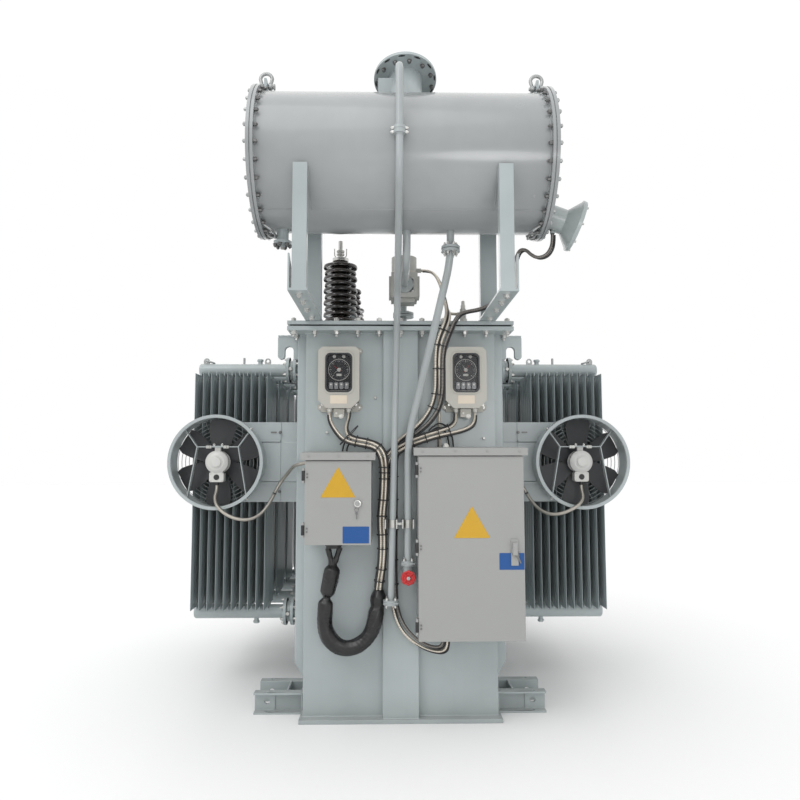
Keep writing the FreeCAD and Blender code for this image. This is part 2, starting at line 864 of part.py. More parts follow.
def conservator_fittings():
    """Two lifting eyes, two filler plugs and a sump under the left end."""
    shapes = []
    rim_top = conservator_z + end_rim_radius
    eye_x = conservator_half + end_rim_thickness / 2
    for side in (-1, 1):
        low = side * eye_x - eye_thickness / 2
        high = side * eye_x + eye_thickness / 2
        eye = box((low, high), (conservator_y - eye_width / 2, conservator_y + eye_width / 2),
                  (rim_top - eye_sunk, rim_top + eye_height))
        hole_z = rim_top + eye_height - eye_width / 2
        hole = rod((low - 1, conservator_y, hole_z), (high + 1, conservator_y, hole_z), eye_hole_radius)
        rim = rod(conservator_point(low - 1), conservator_point(high + 1), end_rim_radius)
        shapes.append(eye.cut([hole, rim]))
    for x in plug_places:
        plug_top = conservator_z + conservator_radius + plug_rise
        plug = rod((x, conservator_y, conservator_z), (x, conservator_y, plug_top), plug_radius)
        shapes.append(plug.cut(conservator_space()))
    low = conservator_z - conservator_radius - sump_drop
    sump = joined([rod((sump_x, conservator_y, conservator_z), (sump_x, conservator_y, low), sump_radius),
                   rod((sump_x, conservator_y, low - sump_flange), (sump_x, conservator_y, low), sump_flange_radius)])
    shapes.append(sump.cut(conservator_space()))
    return shapes


def level_gauge():
    """A dial gauge on the right end: a round body that flares to its dial, tipped towards the ground."""
    tilt = math.radians(level_tilt)
    way = V(math.cos(tilt), 0, -math.sin(tilt))
    face_x = end_face + end_gasket + end_cover
    foot = V(face_x - level_sunk, out(level_setback), level_z)
    body = Part.makeCylinder(level_radius, level_body, foot, way)
    flare = Part.makeCone(level_radius, level_flare_radius, level_flare, foot + way * level_flare_start, way)
    dial = Part.makeCylinder(level_dial_radius, level_dial, foot + way * (level_flare_start + level_flare), way)
    gland_start = foot + way * (level_body / 2)
    gland = rod(tuple(gland_start), (gland_start.x, gland_start.y, level_gland_z), lead_radius + 3)
    whole = joined([body, flare, dial, gland])
    return whole.cut(box((0, face_x), (out(level_setback) - end_rim_radius, out(level_setback) + end_rim_radius),
                         (level_gland_z - end_rim_radius, conservator_z)))


def build_conservator():
    save("conservator_shell", [conservator_shell()])
    save("conservator_ends", [conservator_end(), flip_x(conservator_end())])
    save("conservator_supports", [support(), flip_x(support())])
    save("vent", [vent()])
    save("conservator_fittings", conservator_fittings())
    save("oil_level_gauge", [level_gauge()])


# Pipes
def flange(centre, radius, thickness):
    """A horizontal flange, centred on its mid height."""
    x, y, z = centre
    return rod((x, y, z - thickness / 2), (x, y, z + thickness / 2), radius)


def breather_pipe():
    """From the vent, down in front of the conservator and back to the tank, ending in a blank flange."""
    foot = (breather_x - breather_shift, out(pipe_front), breather_foot)
    forward = out(breather_setback)
    points = [(breather_x, conservator_y - vent_radius + pipe_radius, breather_top),
              (breather_x, forward, breather_bend_z), (breather_x, forward, breather_knee_z),
              (breather_x - 1, out(pipe_front), breather_return_z), foot]
    pipe, radii = tube(points, pipe_radius, 0.14)
    neck = Part.makeCylinder(vent_radius, vent_reach + vent_ring, vent_top - vent_lean * vent_reach, vent_lean)
    coupling = rod((breather_x, forward, coupling_z), (breather_x, forward, coupling_z + coupling_length),
                   coupling_radius)
    gap = flange_gap / 2
    upper = flange((foot[0], foot[1], foot[2] + gap + flange_thickness / 2), flange_radius, flange_thickness)
    lower = flange((foot[0], foot[1], foot[2] - gap - flange_thickness / 2), flange_radius, flange_thickness)
    gasket = flange(foot, flange_radius - 6, flange_gap * 2)
    return joined([pipe.cut(neck), coupling, upper, lower, gasket])


def drain_pipe():
    """From the bottom of the conservator down to the drain valve on the tank."""
    top = (drain_top_x, conservator_y, conservator_z - conservator_radius)
    points = [(top[0], top[1], conservator_z), (drain_top_x, conservator_y, drain_knee_z),
              (drain_x, out(pipe_front), drain_straight_z), drain_low]
    pipe, radii = tube(points, drain_radius, 0.2)
    collar_z = top[2] - drain_collar_drop
    shift = (collar_thickness + collar_gap) / 2
    return joined([
        pipe.cut(conservator_space()),
        flange((drain_top_x, conservator_y, collar_z + shift), collar_radius, collar_thickness),
        flange((drain_top_x, conservator_y, collar_z - shift), collar_radius, collar_thickness),
        flange((drain_top_x, conservator_y, collar_z), collar_radius - 10, 2 * collar_gap),
        flange((drain_x, drain_low[1], drain_flange_z + drain_flange / 2), drain_flange_radius, drain_flange),
    ])


def drain_valve():
    """An angle valve under the drain pipe, with its outlet on the tank's front stiffener."""
    x, y, top = drain_low
    stiffener_face = out(-pilaster_depth)
    return joined([
        flange((x, y, top - drain_flange / 2), drain_flange_radius, drain_flange),
        rod((x, y, valve_z - valve_height), (x, y, top - drain_flange + 1), valve_radius),
        rod((x, y, valve_z), (x, stiffener_face, valve_z), valve_radius - 2),
        rod((x, stiffener_face - drain_flange, valve_z), (x, stiffener_face, valve_z), flange_radius),
        rod((x, y, valve_z), (x, y - bonnet_length, valve_z), bonnet_radius),
        rod((x, y, valve_z), (x, wheel_y - stem_past_wheel, valve_z), stem_radius),
    ])


def valve_wheel():
    """A handwheel on the valve's stem, with four spokes."""
    x = drain_x
    z = valve_z
    reach = wheel_radius - wheel_rim
    rim = Part.makeTorus(reach, wheel_rim, V(x, wheel_y, z), y_axis)
    hub = rod((x, wheel_y - wheel_hub, z), (x, wheel_y + wheel_hub, z), wheel_hub_radius)
    spokes = []
    for quarter in range(4):
        turn = math.pi * (quarter + 0.5) / 2
        spokes.append(rod((x, wheel_y, z), (x + math.cos(turn) * reach, wheel_y, z + math.sin(turn) * reach),
                          wheel_spoke_radius))
    bore = rod((x, wheel_y - wheel_hub - 1, z), (x, wheel_y + wheel_hub + 1, z), stem_radius + fit_gap)
    return joined([rim, hub] + spokes).cut(bore)


def relay_pipes():
    """One pipe from the conservator into the relay, and one from the relay down to the cover."""
    front_y = out(relay_setback)
    rear_y = front_y + relay_length
    upper, radii = tube([(relay_x, conservator_y, conservator_z), (relay_x, conservator_y, relay_z),
                         (relay_x, front_y - relay_flange, relay_z)], relay_pipe_radius, 0.35)
    upper_flange = rod((relay_x, front_y - relay_flange, relay_z), (relay_x, front_y, relay_z), relay_flange_radius)
    drop_y = rear_y + relay_pipe_run
    lower, radii = tube([(relay_x, rear_y + relay_flange, relay_z), (relay_x, drop_y, relay_z),
                         (relay_x, drop_y, cover_top)], relay_pipe_radius)
    lower_flange = rod((relay_x, rear_y, relay_z), (relay_x, rear_y + relay_flange, relay_z), relay_flange_radius)
    shift = (collar_thickness + collar_gap) / 2
    return [
        joined([upper.cut(conservator_space()), upper_flange]),
        joined([
            lower,
            lower_flange,
            flange((relay_x, drop_y, relay_valve_z + shift), relay_valve_radius, collar_thickness),
            flange((relay_x, drop_y, relay_valve_z - shift), relay_valve_radius, collar_thickness),
            flange((relay_x, drop_y, relay_valve_z), relay_valve_radius - 14, 2 * collar_gap),
            flange((relay_x, drop_y, cover_top + collar_thickness / 2), relay_flange_radius + 2, collar_thickness),
        ]),
    ]


def gas_relay():
    """The gas relay: a body with a sight window on each side and a round terminal cap on top."""
    front_y = out(relay_setback)
    rear_y = front_y + relay_length
    low, high = relay_body_z
    shapes = [box((relay_x - relay_half, relay_x + relay_half), (front_y, rear_y), (low, high))]
    for side in (-1, 1):
        shapes.append(box((relay_x + side * relay_half, relay_x + side * (relay_half + relay_window)),
                          (front_y + relay_window_inset, rear_y - relay_window_inset),
                          (low + relay_window, high - relay_window)))
    middle = (front_y + rear_y) / 2
    shapes.append(rod((relay_x, middle, high), (relay_x, middle, relay_cap_top), relay_cap_radius))
    shapes.append(box((relay_x - relay_base_half, relay_x + relay_base_half),
                      (middle - relay_base_half, middle + relay_base_half), (low - relay_base, low)))
    shapes.append(rod((relay_x + relay_base_half, middle, relay_gland_z),
                      (relay_x + relay_gland_reach, middle, relay_gland_z), lead_radius + 4))
    return joined(shapes)


def pipe_clamps():
    """A tie between the breather pipe and the drain pipe, with a saddle on each."""
    fallen = (breather_return_z - clamp_z) / (breather_return_z - breather_foot)
    pipe_x = breather_x - breather_shift * fallen
    y = out(pipe_front)
    shapes = [box((pipe_x + pipe_radius + 3, drain_x - drain_radius - 3), (y - clamp_bar / 2, y + clamp_bar / 2),
                  (clamp_z - clamp_bar / 2, clamp_z + clamp_bar / 2))]
    for x, radius in ((pipe_x, pipe_radius), (drain_x, drain_radius)):
        saddle = rod((x, y, clamp_z - clamp_height / 2), (x, y, clamp_z + clamp_height / 2), radius + clamp_wall)
        hollow = rod((x, y, clamp_z - clamp_height), (x, y, clamp_z + clamp_height), radius + clamp_slack)
        shapes.append(saddle.cut(hollow))
    return joined(shapes)


def thermometer_pocket():
    """A pocket in the cover that the temperature gauges read."""
    x = pocket_x
    y = out(pocket_setback)
    return joined([
        rod((x, y, cover_top), (x, y, cover_top + pocket_foot), pocket_foot_radius),
        rod((x, y, cover_top), (x, y, cover_top + pocket_height), pocket_radius),
        rod((x, y, pocket_gland_z), (x - pocket_gland_reach, y, pocket_gland_z), lead_radius + 3),
    ])


def build_pipes():
    save("breather_pipe", [breather_pipe()])
    save("drain_pipe", [drain_pipe()])
    save("drain_valve", [drain_valve()])
    save("valve_wheel", [valve_wheel()])
    save("relay_pipes", relay_pipes())
    save("gas_relay", [gas_relay()])
    save("pipe_clamps", [pipe_clamps()])
    save("thermometer_pocket", [thermometer_pocket()])


# Gauges
gauge_front = gauge_setback - gauge_depth


def temperature_gauge(x):
    """A gauge case with a chamfered foot, a recessed window, mounting ears and two cable glands."""
    half = gauge_width / 2
    low = gauge_z - gauge_height / 2
    high = gauge_z + gauge_height / 2
    cut = gauge_chamfer
    outline = [(-half, low + cut), (-half + cut, low), (half - cut, low), (half, low + cut),
               (half, high - cut / 2), (half - cut / 2, high), (-half + cut / 2, high), (-half, high - cut / 2)]
    case = slab([(x + dx, out(gauge_setback), z) for dx, z in outline], (0, -gauge_depth, 0))
    window_z = gauge_z + window_lift
    pocket = box((x - window_width / 2, x + window_width / 2),
                 (out(gauge_front) - 1, out(gauge_front) + window_recess),
                 (window_z - window_height / 2, window_z + window_height / 2))
    ears = box((x - half + gauge_ear, x + half - gauge_ear), (out(0), out(gauge_setback)),
               (low - 2 * gauge_ear, high + gauge_ear))
    shapes = [case.cut(pocket), ears]
    gland_y = out(gauge_gland_setback)
    for side in (-1, 1):
        gland_x = x + side * gauge_gland_x
        shapes.append(rod((gland_x, gland_y, low + 1), (gland_x, gland_y, low - gland_length), gland_radius))
    return joined(shapes)


def gauge_window(x):
    window_z = gauge_z + window_lift
    back = out(gauge_front) + 2 * window_glass
    return box((x - window_width / 2, x + window_width / 2), (back - window_glass, back),
               (window_z - window_height / 2, window_z + window_height / 2))


def build_gauges():
    save("temperature_gauges", [temperature_gauge(left_gauge_x), temperature_gauge(right_gauge_x)])
    save("gauge_windows", [gauge_window(left_gauge_x), gauge_window(right_gauge_x)])


# Cabinets
def cabinet(x, y, z, hinge_heights):
    """A sheet-metal case, open at the front inside a lip, with a rain hood and hinge knuckles."""
    rear, front_edge = out(y[0]), out(y[1])
    case = box(x, (rear, front_edge), z)
    hollow = box((x[0] + sheet, x[1] - sheet), (rear - sheet, front_edge + sheet), (z[0] + sheet, z[1] - sheet))
    mouth = box((x[0] + mouth_lip, x[1] - mouth_lip), (front_edge - 1, front_edge + 2 * sheet),
                (z[0] + mouth_lip, z[1] - mouth_lip))
    case = case.cut([hollow, mouth])
    nose = front_edge - door_gap - door_depth - hood_overhang / 2
    hood_outline = [(rear, z[1]), (nose, z[1]), (nose, z[1] + hood_front), (rear, z[1] + hood_rear)]
    hood = slab([(x[0] - hood_overhang, *point) for point in hood_outline], (x[1] - x[0] + 2 * hood_overhang, 0, 0))
    shapes = [case, hood]
    axis_x = x[0] - hinge_offset
    axis_y = front_edge - door_gap - door_depth
    leaf_rear = front_edge + hinge_leaf_rear
    for height in hinge_heights:
        for end in (-1, 1):
            low = height + end * (knuckle_length + 0.5) - knuckle_length / 2
            high = low + knuckle_length
            shapes.append(rod((axis_x, axis_y, low), (axis_x, axis_y, high), knuckle_radius))
            shapes.append(box((axis_x - hinge_leaf / 2, axis_x + 1), (axis_y, leaf_rear), (low, high)))
            shapes.append(box((axis_x - hinge_leaf / 2, x[0] + 1), (front_edge + hinge_leaf, leaf_rear), (low, high)))
    return joined(shapes)


def cabinet_door(x, y, z, hinge_heights, handle):
    """A door folded back at its edges, with one knuckle at each hinge and a handle."""
    rear = out(y[1]) - door_gap
    face = rear - door_depth
    high = z[1] - door_gap
    panel = box((x[0] + 1, x[1]), (face, rear), (z[0], high))
    hollow = box((x[0] + 1 + sheet, x[1] - sheet), (face + sheet, rear + 1), (z[0] + sheet, high - sheet))
    shapes = [panel.cut(hollow)]
    axis_x = x[0] - hinge_offset
    for height in hinge_heights:
        foot = height - knuckle_length / 2
        shapes.append(rod((axis_x, face, foot), (axis_x, face, foot + knuckle_length), knuckle_radius))
        shapes.append(box((axis_x, x[0] + 2), (face - 1, face + 2), (foot, foot + knuckle_length)))
    return joined(shapes + handle(face))


def key_lock(face):
    """A round lock barrel."""
    x, z = lock_place
    return [rod((x, face + sheet, z), (x, face - lock_length, z), lock_radius)]


def swing_handle(face):
    """A lever handle on a long plate."""
    x, z = handle_place
    plate_front = face - handle_plate_depth
    plate = box((x - handle_plate_width / 2, x + handle_plate_width / 2), (face + sheet, plate_front),
                (z - handle_plate_height / 2, z + handle_plate_height / 2))
    lever = box((x - lever_width / 2, x + lever_width / 2), (plate_front, plate_front - lever_depth),
                (z + lever_z[0], z + lever_z[1]))
    return [plate, lever]


def cabinet_brackets():
    """Flat bars that hold both cabinets off the tank."""
    shapes = []
    for z in (left_cabinet_z[0] + left_bar_inset, left_cabinet_z[1] - left_bar_inset):
        shapes.append(box((left_cabinet_x[0] + bar_end[0], left_cabinet_x[1] - bar_end[1]),
                          (out(0), out(left_cabinet_y[0])), (z - bar_height / 2, z + bar_height / 2)))
    for z in (right_cabinet_z[0] + right_bar_inset, right_cabinet_z[1] - right_bar_inset):
        for low in right_bar_places:
            shapes.append(box((low, low + right_bar_width), (out(0), out(right_cabinet_y[0])),
                              (z - bar_height / 2, z + bar_height / 2)))
    return shapes


def cable_glands():
    """Collars under the cabinets, where the sleeve and the leads come in."""
    low = left_cabinet_z[0]
    x, y = sleeve_place[0], out(sleeve_place[1])
    collar = joined([rod((x, y, low), (x, y, low - collar_length), sleeve_radius + 6),
                     rod((x, y, low - collar_length), (x, y, low - sleeve_gland_length), sleeve_radius)])
    small = [rod((x, out(lead_gland_setback), right_cabinet_z[0]),
                 (x, out(lead_gland_setback), right_cabinet_z[0] - lead_gland_length), lead_radius + 2.5)
             for x in lead_gland_places]
    return [collar] + small


def build_cabinets():
    save("left_cabinet", [cabinet(left_cabinet_x, left_cabinet_y, left_cabinet_z, left_hinges)])
    save("left_cabinet_door", [cabinet_door(left_cabinet_x, left_cabinet_y, left_cabinet_z, left_hinges, key_lock)])
    save("right_cabinet", [cabinet(right_cabinet_x, right_cabinet_y, right_cabinet_z, right_hinges)])
    save("right_cabinet_door", [cabinet_door(right_cabinet_x, right_cabinet_y, right_cabinet_z, right_hinges,
                                             swing_handle)])
    save("cabinet_brackets", cabinet_brackets())
    save("cable_glands", cable_glands())


# Bushings
def bushing(x, y, size):
    """A shedded insulator on the cover with its terminal stud."""
    core, shed, height, shed_count, stud_radius, stud_height = size
    profile = [V(x, y, cover_top), V(x + shed, y, cover_top), V(x + shed, y, cover_top + bushing_foot),
               V(x + core, y, cover_top + bushing_foot + 6)]
    start = cover_top + bushing_foot + 8
    pitch = (height - bushing_foot - 26) / shed_count
    for index in range(shed_count):
        z = start + index * pitch
        reach = shed if index % 2 == 0 else shed * small_shed_share
        profile += [V(x + core, y, z + pitch * 0.2), V(x + reach, y, z + pitch * 0.38),
                    V(x + reach, y, z + pitch * 0.5), V(x + core, y, z + pitch * 0.95)]
    top = cover_top + height
    profile += [V(x + core * 0.7, y, top), V(x + stud_radius, y, top),
                V(x + stud_radius, y, top + stud_height), V(x, y, top + stud_height)]
    return Part.Face(Part.makePolygon(profile + profile[:1])).revolve(V(x, y, 0), z_axis, 360)


def build_bushings():
    save("hv_bushings", [bushing(hv_x, out(y), hv_size) for y in hv_places])
    save("lv_bushings", [bushing(lv_x, out(y), lv_size) for y in lv_places])


# Cables
def placed(points):
    """Points given from the front wall, in the part's frame."""
    return [(x, out(y), z) for x, y, z in points]


def bundle(dx, dy):
    """One strand of the bundle that runs down beside the breather pipe to the sleeve."""
    middle = [(-83, -101, 1225), (-86, -101, 1120), (-98, -100, 1010), (-90, -98, 890), (-95, -90, 775),
              (-108, -78, 700), (-112, -72, 655)]
    return [(x + dx, y + dy, z) for x, y, z in middle]


cord_routes = {
    "left_gauge_lead_outer": (lead_radius, [
        (-362, -58, 1536), (-362, -58, 1510), (-346, -66, 1474), (-320, -76, 1436), (-290, -84, 1404),
        (-248, -90, 1386), (-190, -98, 1376), (-126, -106, 1362), (-101, -110, 1318), (-93, -110, 1270)]
        + bundle(-9, -9)),
    "left_gauge_lead_inner": (lead_radius, [
        (-266, -58, 1536), (-266, -58, 1510), (-275, -68, 1480), (-280, -78, 1450), (-266, -88, 1420),
        (-234, -94, 1404), (-186, -98, 1396), (-120, -106, 1378), (-84, -110, 1336), (-75, -110, 1280)]
        + bundle(9, -9)),
    "right_gauge_lead_inner": (lead_radius, [
        (283, -58, 1536), (283, -58, 1508), (275, -68, 1480), (250, -78, 1462), (200, -86, 1446),
        (135, -92, 1426), (60, -92, 1402), (0, -88, 1372), (-52, -86, 1342), (-84, -90, 1302)]
        + bundle(-9, 9)),
    "right_gauge_lead_outer": (lead_radius, [
        (379, -58, 1536), (379, -58, 1508), (366, -68, 1478), (332, -78, 1456), (270, -84, 1438),
        (200, -86, 1424), (132, -92, 1404), (58, -92, 1380), (0, -88, 1350), (-46, -86, 1318), (-68, -90, 1278)]
        + bundle(9, 9)),
    "relay_lead": (lead_radius, [
        (114, 110, 2324), (148, 110, 2324), (184, 90, 2304), (206, 50, 2252), (220, 0, 2184), (231, -46, 2114),
        (236, -84, 2062), (228, -106, 2014), (206, -108, 1960), (184, -104, 1900), (176, -101, 1830),
        (176, -99, 1730), (174, -98, 1650), (156, -98, 1574), (118, -98, 1510), (70, -96, 1460),
        (20, -84, 1424), (-20, -68, 1390), (-44, -60, 1340), (-48, -58, 1270), (-48, -58, 1130),
        (-49, -58, 960), (-50, -57, 800), (-48, -57, 690), (-46, -58, 612), (-36, -72, 548), (-12, -92, 484),
        (32, -106, 430), (88, -116, 392), (144, -122, 370), (196, -125, 364), (226, -126, 386), (226, -126, 430)]),
    "thermometer_lead": (lead_radius, [
        (304, 44, 2072), (272, 44, 2072), (252, 24, 2074), (246, -12, 2078), (248, -52, 2070), (252, -86, 2044),
        (247, -106, 2006), (228, -108, 1956), (204, -104, 1894), (194, -101, 1824), (194, -98, 1756), (194, -88, 1684),
        (195, -77, 1610), (196, -61, 1540), (198, -44, 1460), (200, -30, 1390), (201, -26, 1340),
        (201, -26, 1300)]),
    "level_gauge_lead": (lead_radius, [
        (703, -440, 2354), (703, -440, 2322), (694, -444, 2282), (670, -446, 2248), (632, -438, 2238),
        (604, -424, 2258), (586, -410, 2284), (562, -392, 2293), (548, -364, 2273), (541, -330, 2228),
        (528, -290, 2168), (494, -246, 2108), (444, -214, 2066), (386, -176, 2050), (336, -134, 2050),
        (298, -112, 2042), (272, -108, 2006), (250, -108, 1950), (224, -104, 1888), (212, -101, 1820),
        (212, -99, 1724), (211, -98, 1640), (190, -98, 1556), (144, -98, 1490), (86, -96, 1440), (32, -82, 1406),
        (-4, -66, 1374), (-26, -60, 1326), (-30, -58, 1260), (-30, -58, 1120), (-31, -58, 960), (-32, -57, 810),
        (-30, -57, 700), (-28, -58, 622), (-20, -72, 562), (2, -92, 504), (42, -106, 452), (92, -116, 412),
        (138, -122, 392), (178, -125, 386), (204, -126, 400), (204, -126, 430)]),
    "left_fan_lead": (fan_lead_radius, [
        (-996, 225, 1161), (-996, 225, 1134), (-1000, 192, 1094), (-978, 154, 1052), (-926, 138, 1010),
        (-862, 138, 984), (-798, 156, 980), (-744, 196, 1010), (-706, 236, 1070), (-682, 262, 1130),
        (-650, 264, 1184), (-610, 210, 1226), (-576, 120, 1254), (-550, 34, 1270), (-510, -16, 1280),
        (-474, -18, 1286), (-438, -18, 1290)]),
    "right_fan_lead": (fan_lead_radius, [
        (996, 225, 1161), (996, 225, 1134), (998, 192, 1096), (970, 154, 1062), (918, 138, 1032),
        (858, 138, 1010), (800, 156, 1006), (750, 200, 1032), (714, 244, 1086), (684, 262, 1146),
        (646, 236, 1192), (612, 150, 1220), (586, 50, 1236), (562, -10, 1246), (528, -26, 1252), (488, -26, 1256)]),
    "cable_sleeve": (sleeve_radius, [
        (-333, -110, 866), (-333, -110, 806), (-346, -108, 724), (-364, -104, 642), (-376, -100, 560),
        (-378, -100, 486), (-350, -100, 418), (-292, -100, 378), (-226, -100, 380), (-168, -98, 420),
        (-134, -90, 486), (-118, -78, 560), (-112, -72, 612), (-112, -72, 654)]),
}


def build_cords():
    for name, (radius, points) in cord_routes.items():
        solid, radii = tube(placed(points), radius)
        length = route(placed(points))[0].Length
        print(f"  {name}: length {length:.0f}, smallest radius {min(radii):.0f} of {2 * radius:.0f} across,",
              "radii", [round(value) for value in radii])
        save(name, [solid])


build_tank()
build_radiators()
build_fans()
build_conservator()
build_pipes()
build_gauges()
build_cabinets()
build_bushings()
build_cords()
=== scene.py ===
import json
from math import cos, exp, hypot, pi, radians, sin

import bmesh
import bpy
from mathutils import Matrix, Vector

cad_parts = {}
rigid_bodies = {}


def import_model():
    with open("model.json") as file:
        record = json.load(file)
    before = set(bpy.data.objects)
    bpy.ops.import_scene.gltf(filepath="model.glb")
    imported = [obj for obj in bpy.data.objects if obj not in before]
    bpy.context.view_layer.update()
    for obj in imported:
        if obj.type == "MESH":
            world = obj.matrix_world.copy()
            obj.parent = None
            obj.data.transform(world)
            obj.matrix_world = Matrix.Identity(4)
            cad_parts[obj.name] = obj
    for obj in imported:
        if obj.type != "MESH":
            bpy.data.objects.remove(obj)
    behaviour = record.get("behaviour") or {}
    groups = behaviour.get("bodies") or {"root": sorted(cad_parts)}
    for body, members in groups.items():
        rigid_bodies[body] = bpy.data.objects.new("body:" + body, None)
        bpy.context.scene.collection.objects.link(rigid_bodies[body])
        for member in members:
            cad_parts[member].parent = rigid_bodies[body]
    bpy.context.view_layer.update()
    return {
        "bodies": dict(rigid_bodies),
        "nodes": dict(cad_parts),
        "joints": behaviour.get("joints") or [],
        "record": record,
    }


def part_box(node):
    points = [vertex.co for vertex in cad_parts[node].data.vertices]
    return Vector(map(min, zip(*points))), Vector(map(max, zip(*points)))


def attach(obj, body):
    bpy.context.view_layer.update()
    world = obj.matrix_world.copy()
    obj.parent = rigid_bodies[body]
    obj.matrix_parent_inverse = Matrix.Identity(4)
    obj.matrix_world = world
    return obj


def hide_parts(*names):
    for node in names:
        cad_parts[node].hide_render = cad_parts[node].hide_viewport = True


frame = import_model()
nodes = frame["nodes"]
scene = bpy.context.scene
mainBody = "transformer"
print("frame loaded")


# shading: sockets that can be added and multiplied
class Value:
    def __init__(self, recipe, socket):
        self.recipe = recipe
        self.socket = socket

    def __add__(self, other):
        return self.recipe.maths("ADD", self, other)

    def __mul__(self, other):
        return self.recipe.maths("MULTIPLY", self, other)

    __radd__ = __add__
    __rmul__ = __mul__


class Recipe:
    def __init__(self, name):
        self.material = bpy.data.materials.new(name)
        self.material.use_nodes = True
        self.tree = self.material.node_tree
        self.tree.nodes.clear()
        self.place = self.node("ShaderNodeTexCoord", output="Object")

    def node(self, kind, settings=None, inputs=None, output=0):
        made = self.tree.nodes.new(kind)
        for name, value in (settings or {}).items():
            if name == "stops":  # a colour ramp's stops: position and grey
                while len(made.color_ramp.elements) < len(value):
                    made.color_ramp.elements.new(0.5)
                for element, (position, grey) in zip(made.color_ramp.elements, value):
                    element.position = position
                    element.color = (grey, grey, grey, 1)
            else:
                setattr(made, name, value)
        for name, value in (inputs or {}).items():
            if isinstance(value, Value):
                self.tree.links.new(value.socket, made.inputs[name])
            else:
                made.inputs[name].default_value = value
        return Value(self, made.outputs[output] if made.outputs else None)

    def maths(self, operation, first, second):
        return self.node("ShaderNodeMath", {"operation": operation}, {0: first, 1: second})

    def stretched(self, scale):
        return self.node("ShaderNodeMapping", {}, {"Vector": self.place, "Scale": scale})

    def noise(self, scale, detail=3.0, rough=0.5, where=None):
        return self.node("ShaderNodeTexNoise", {}, {"Vector": where or self.place, "Scale": scale,
                                                   "Detail": detail, "Roughness": rough})

    def ramp(self, value, stops):
        return self.node("ShaderNodeValToRGB", {"stops": stops}, {0: value})

    def mix(self, factor, first, second):
        return self.node("ShaderNodeMix", {"data_type": "RGBA"}, {0: factor, 6: first, 7: second}, 2)

    def axis(self, name):
        return self.node("ShaderNodeSeparateXYZ", {}, {0: self.place}, name)

    def facing(self, name):
        normal = self.node("ShaderNodeNewGeometry", output="Normal")
        return self.node("ShaderNodeSeparateXYZ", {}, {0: normal}, name)

    def bump(self, height, depth, strength=1.0, under=None):
        sockets = {"Height": height, "Distance": depth, "Strength": strength}
        if under:
            sockets["Normal"] = under
        return self.node("ShaderNodeBump", {}, sockets)

    def finish(self, **sockets):
        names = {name.replace("_", " ").title().replace("Ior", "IOR"): value for name, value in sockets.items()}
        shader = self.node("ShaderNodeBsdfPrincipled", {}, names)
        self.node("ShaderNodeOutputMaterial", {}, {"Surface": shader})
        return self.material


def rgb(red, green, blue):
    return (red, green, blue, 1.0)


def shaded(colour, share, extra=0.0):
    return tuple(min(1.0, channel * share + extra) for channel in colour[:3]) + (1.0,)


def enamel(name, colour, rough=0.34, peel=0.25, grime=0.35, coat=0.25):
    # brushed-on or sprayed enamel: slow colour drift, runs, settled dust and orange peel
    paint = Recipe(name)
    drift = paint.noise(1.3, 4.0, 0.6)
    runs = paint.noise(1.0, 5.0, 0.6, paint.stretched((16.0, 16.0, 0.7)))
    shade = paint.mix(paint.ramp(drift, ((0.35, 0.0), (0.7, 1.0))), shaded(colour, 0.86), shaded(colour, 1.07))
    streak = paint.ramp(runs, ((0.52, 0.0), (0.78, 1.0))) * (0.3 * grime)
    shade = paint.mix(streak, shade, shaded(colour, 0.62))
    dust = paint.ramp(paint.facing("Z"), ((0.6, 0.0), (0.95, 1.0))) * (paint.noise(5.0, 5.0) * grime)
    shade = paint.mix(dust, shade, rgb(0.46, 0.45, 0.42))
    low = paint.ramp(paint.axis("Z"), ((0.0, 1.0), (0.16, 0.0))) * (paint.noise(9.0, 6.0, 0.7) * grime)
    shade = paint.mix(low, shade, rgb(0.16, 0.155, 0.14))
    specks = paint.ramp(paint.noise(55.0, 2.0), ((0.77, 0.0), (0.8, 1.0))) * (0.35 * grime)
    shade = paint.mix(specks, shade, rgb(0.2, 0.2, 0.19))
    gloss = paint.noise(7.0, 4.0) * 0.16 + (rough - 0.08) + dust * 0.35
    skin = paint.bump(paint.noise(190.0, 2.0), 0.0004, peel)
    waves = paint.bump(paint.noise(2.4, 2.0), 0.012, 0.2, skin)
    return paint.finish(base_color=shade, roughness=gloss, normal=waves, coat_weight=coat, coat_roughness=0.12)


def powderCoat(name, colour, rough=0.42):
    # the even, finely stippled coat of the cabinets and the gauge cases
    paint = Recipe(name)
    shade = paint.mix(paint.noise(2.1, 3.0), shaded(colour, 0.93), colour)
    smudge = paint.ramp(paint.noise(6.0, 6.0, 0.65), ((0.55, 0.0), (0.8, 1.0))) * 0.16
    shade = paint.mix(smudge, shade, rgb(0.25, 0.25, 0.24))
    gloss = paint.noise(11.0, 4.0) * 0.12 + rough
    stipple = paint.bump(paint.noise(520.0, 2.0), 0.0003, 0.4)
    return paint.finish(base_color=shade, roughness=gloss, normal=stipple)


def bareMetal(name, colour, rough=0.3, scratch=0.3, tarnish=0.35):
    steel = Recipe(name)
    worn = steel.noise(38.0, 5.0, 0.65)
    shade = steel.mix(steel.ramp(worn, ((0.5, 0.0), (0.85, 1.0))) * tarnish, colour, shaded(colour, 0.45))
    gloss = worn * 0.3 + (rough - 0.1)
    lines = steel.bump(steel.noise(300.0, 2.0, 0.5, steel.stretched((1.0, 6.0, 6.0))), 0.0002, scratch)
    return steel.finish(base_color=shade, roughness=gloss, metallic=1.0, normal=lines)


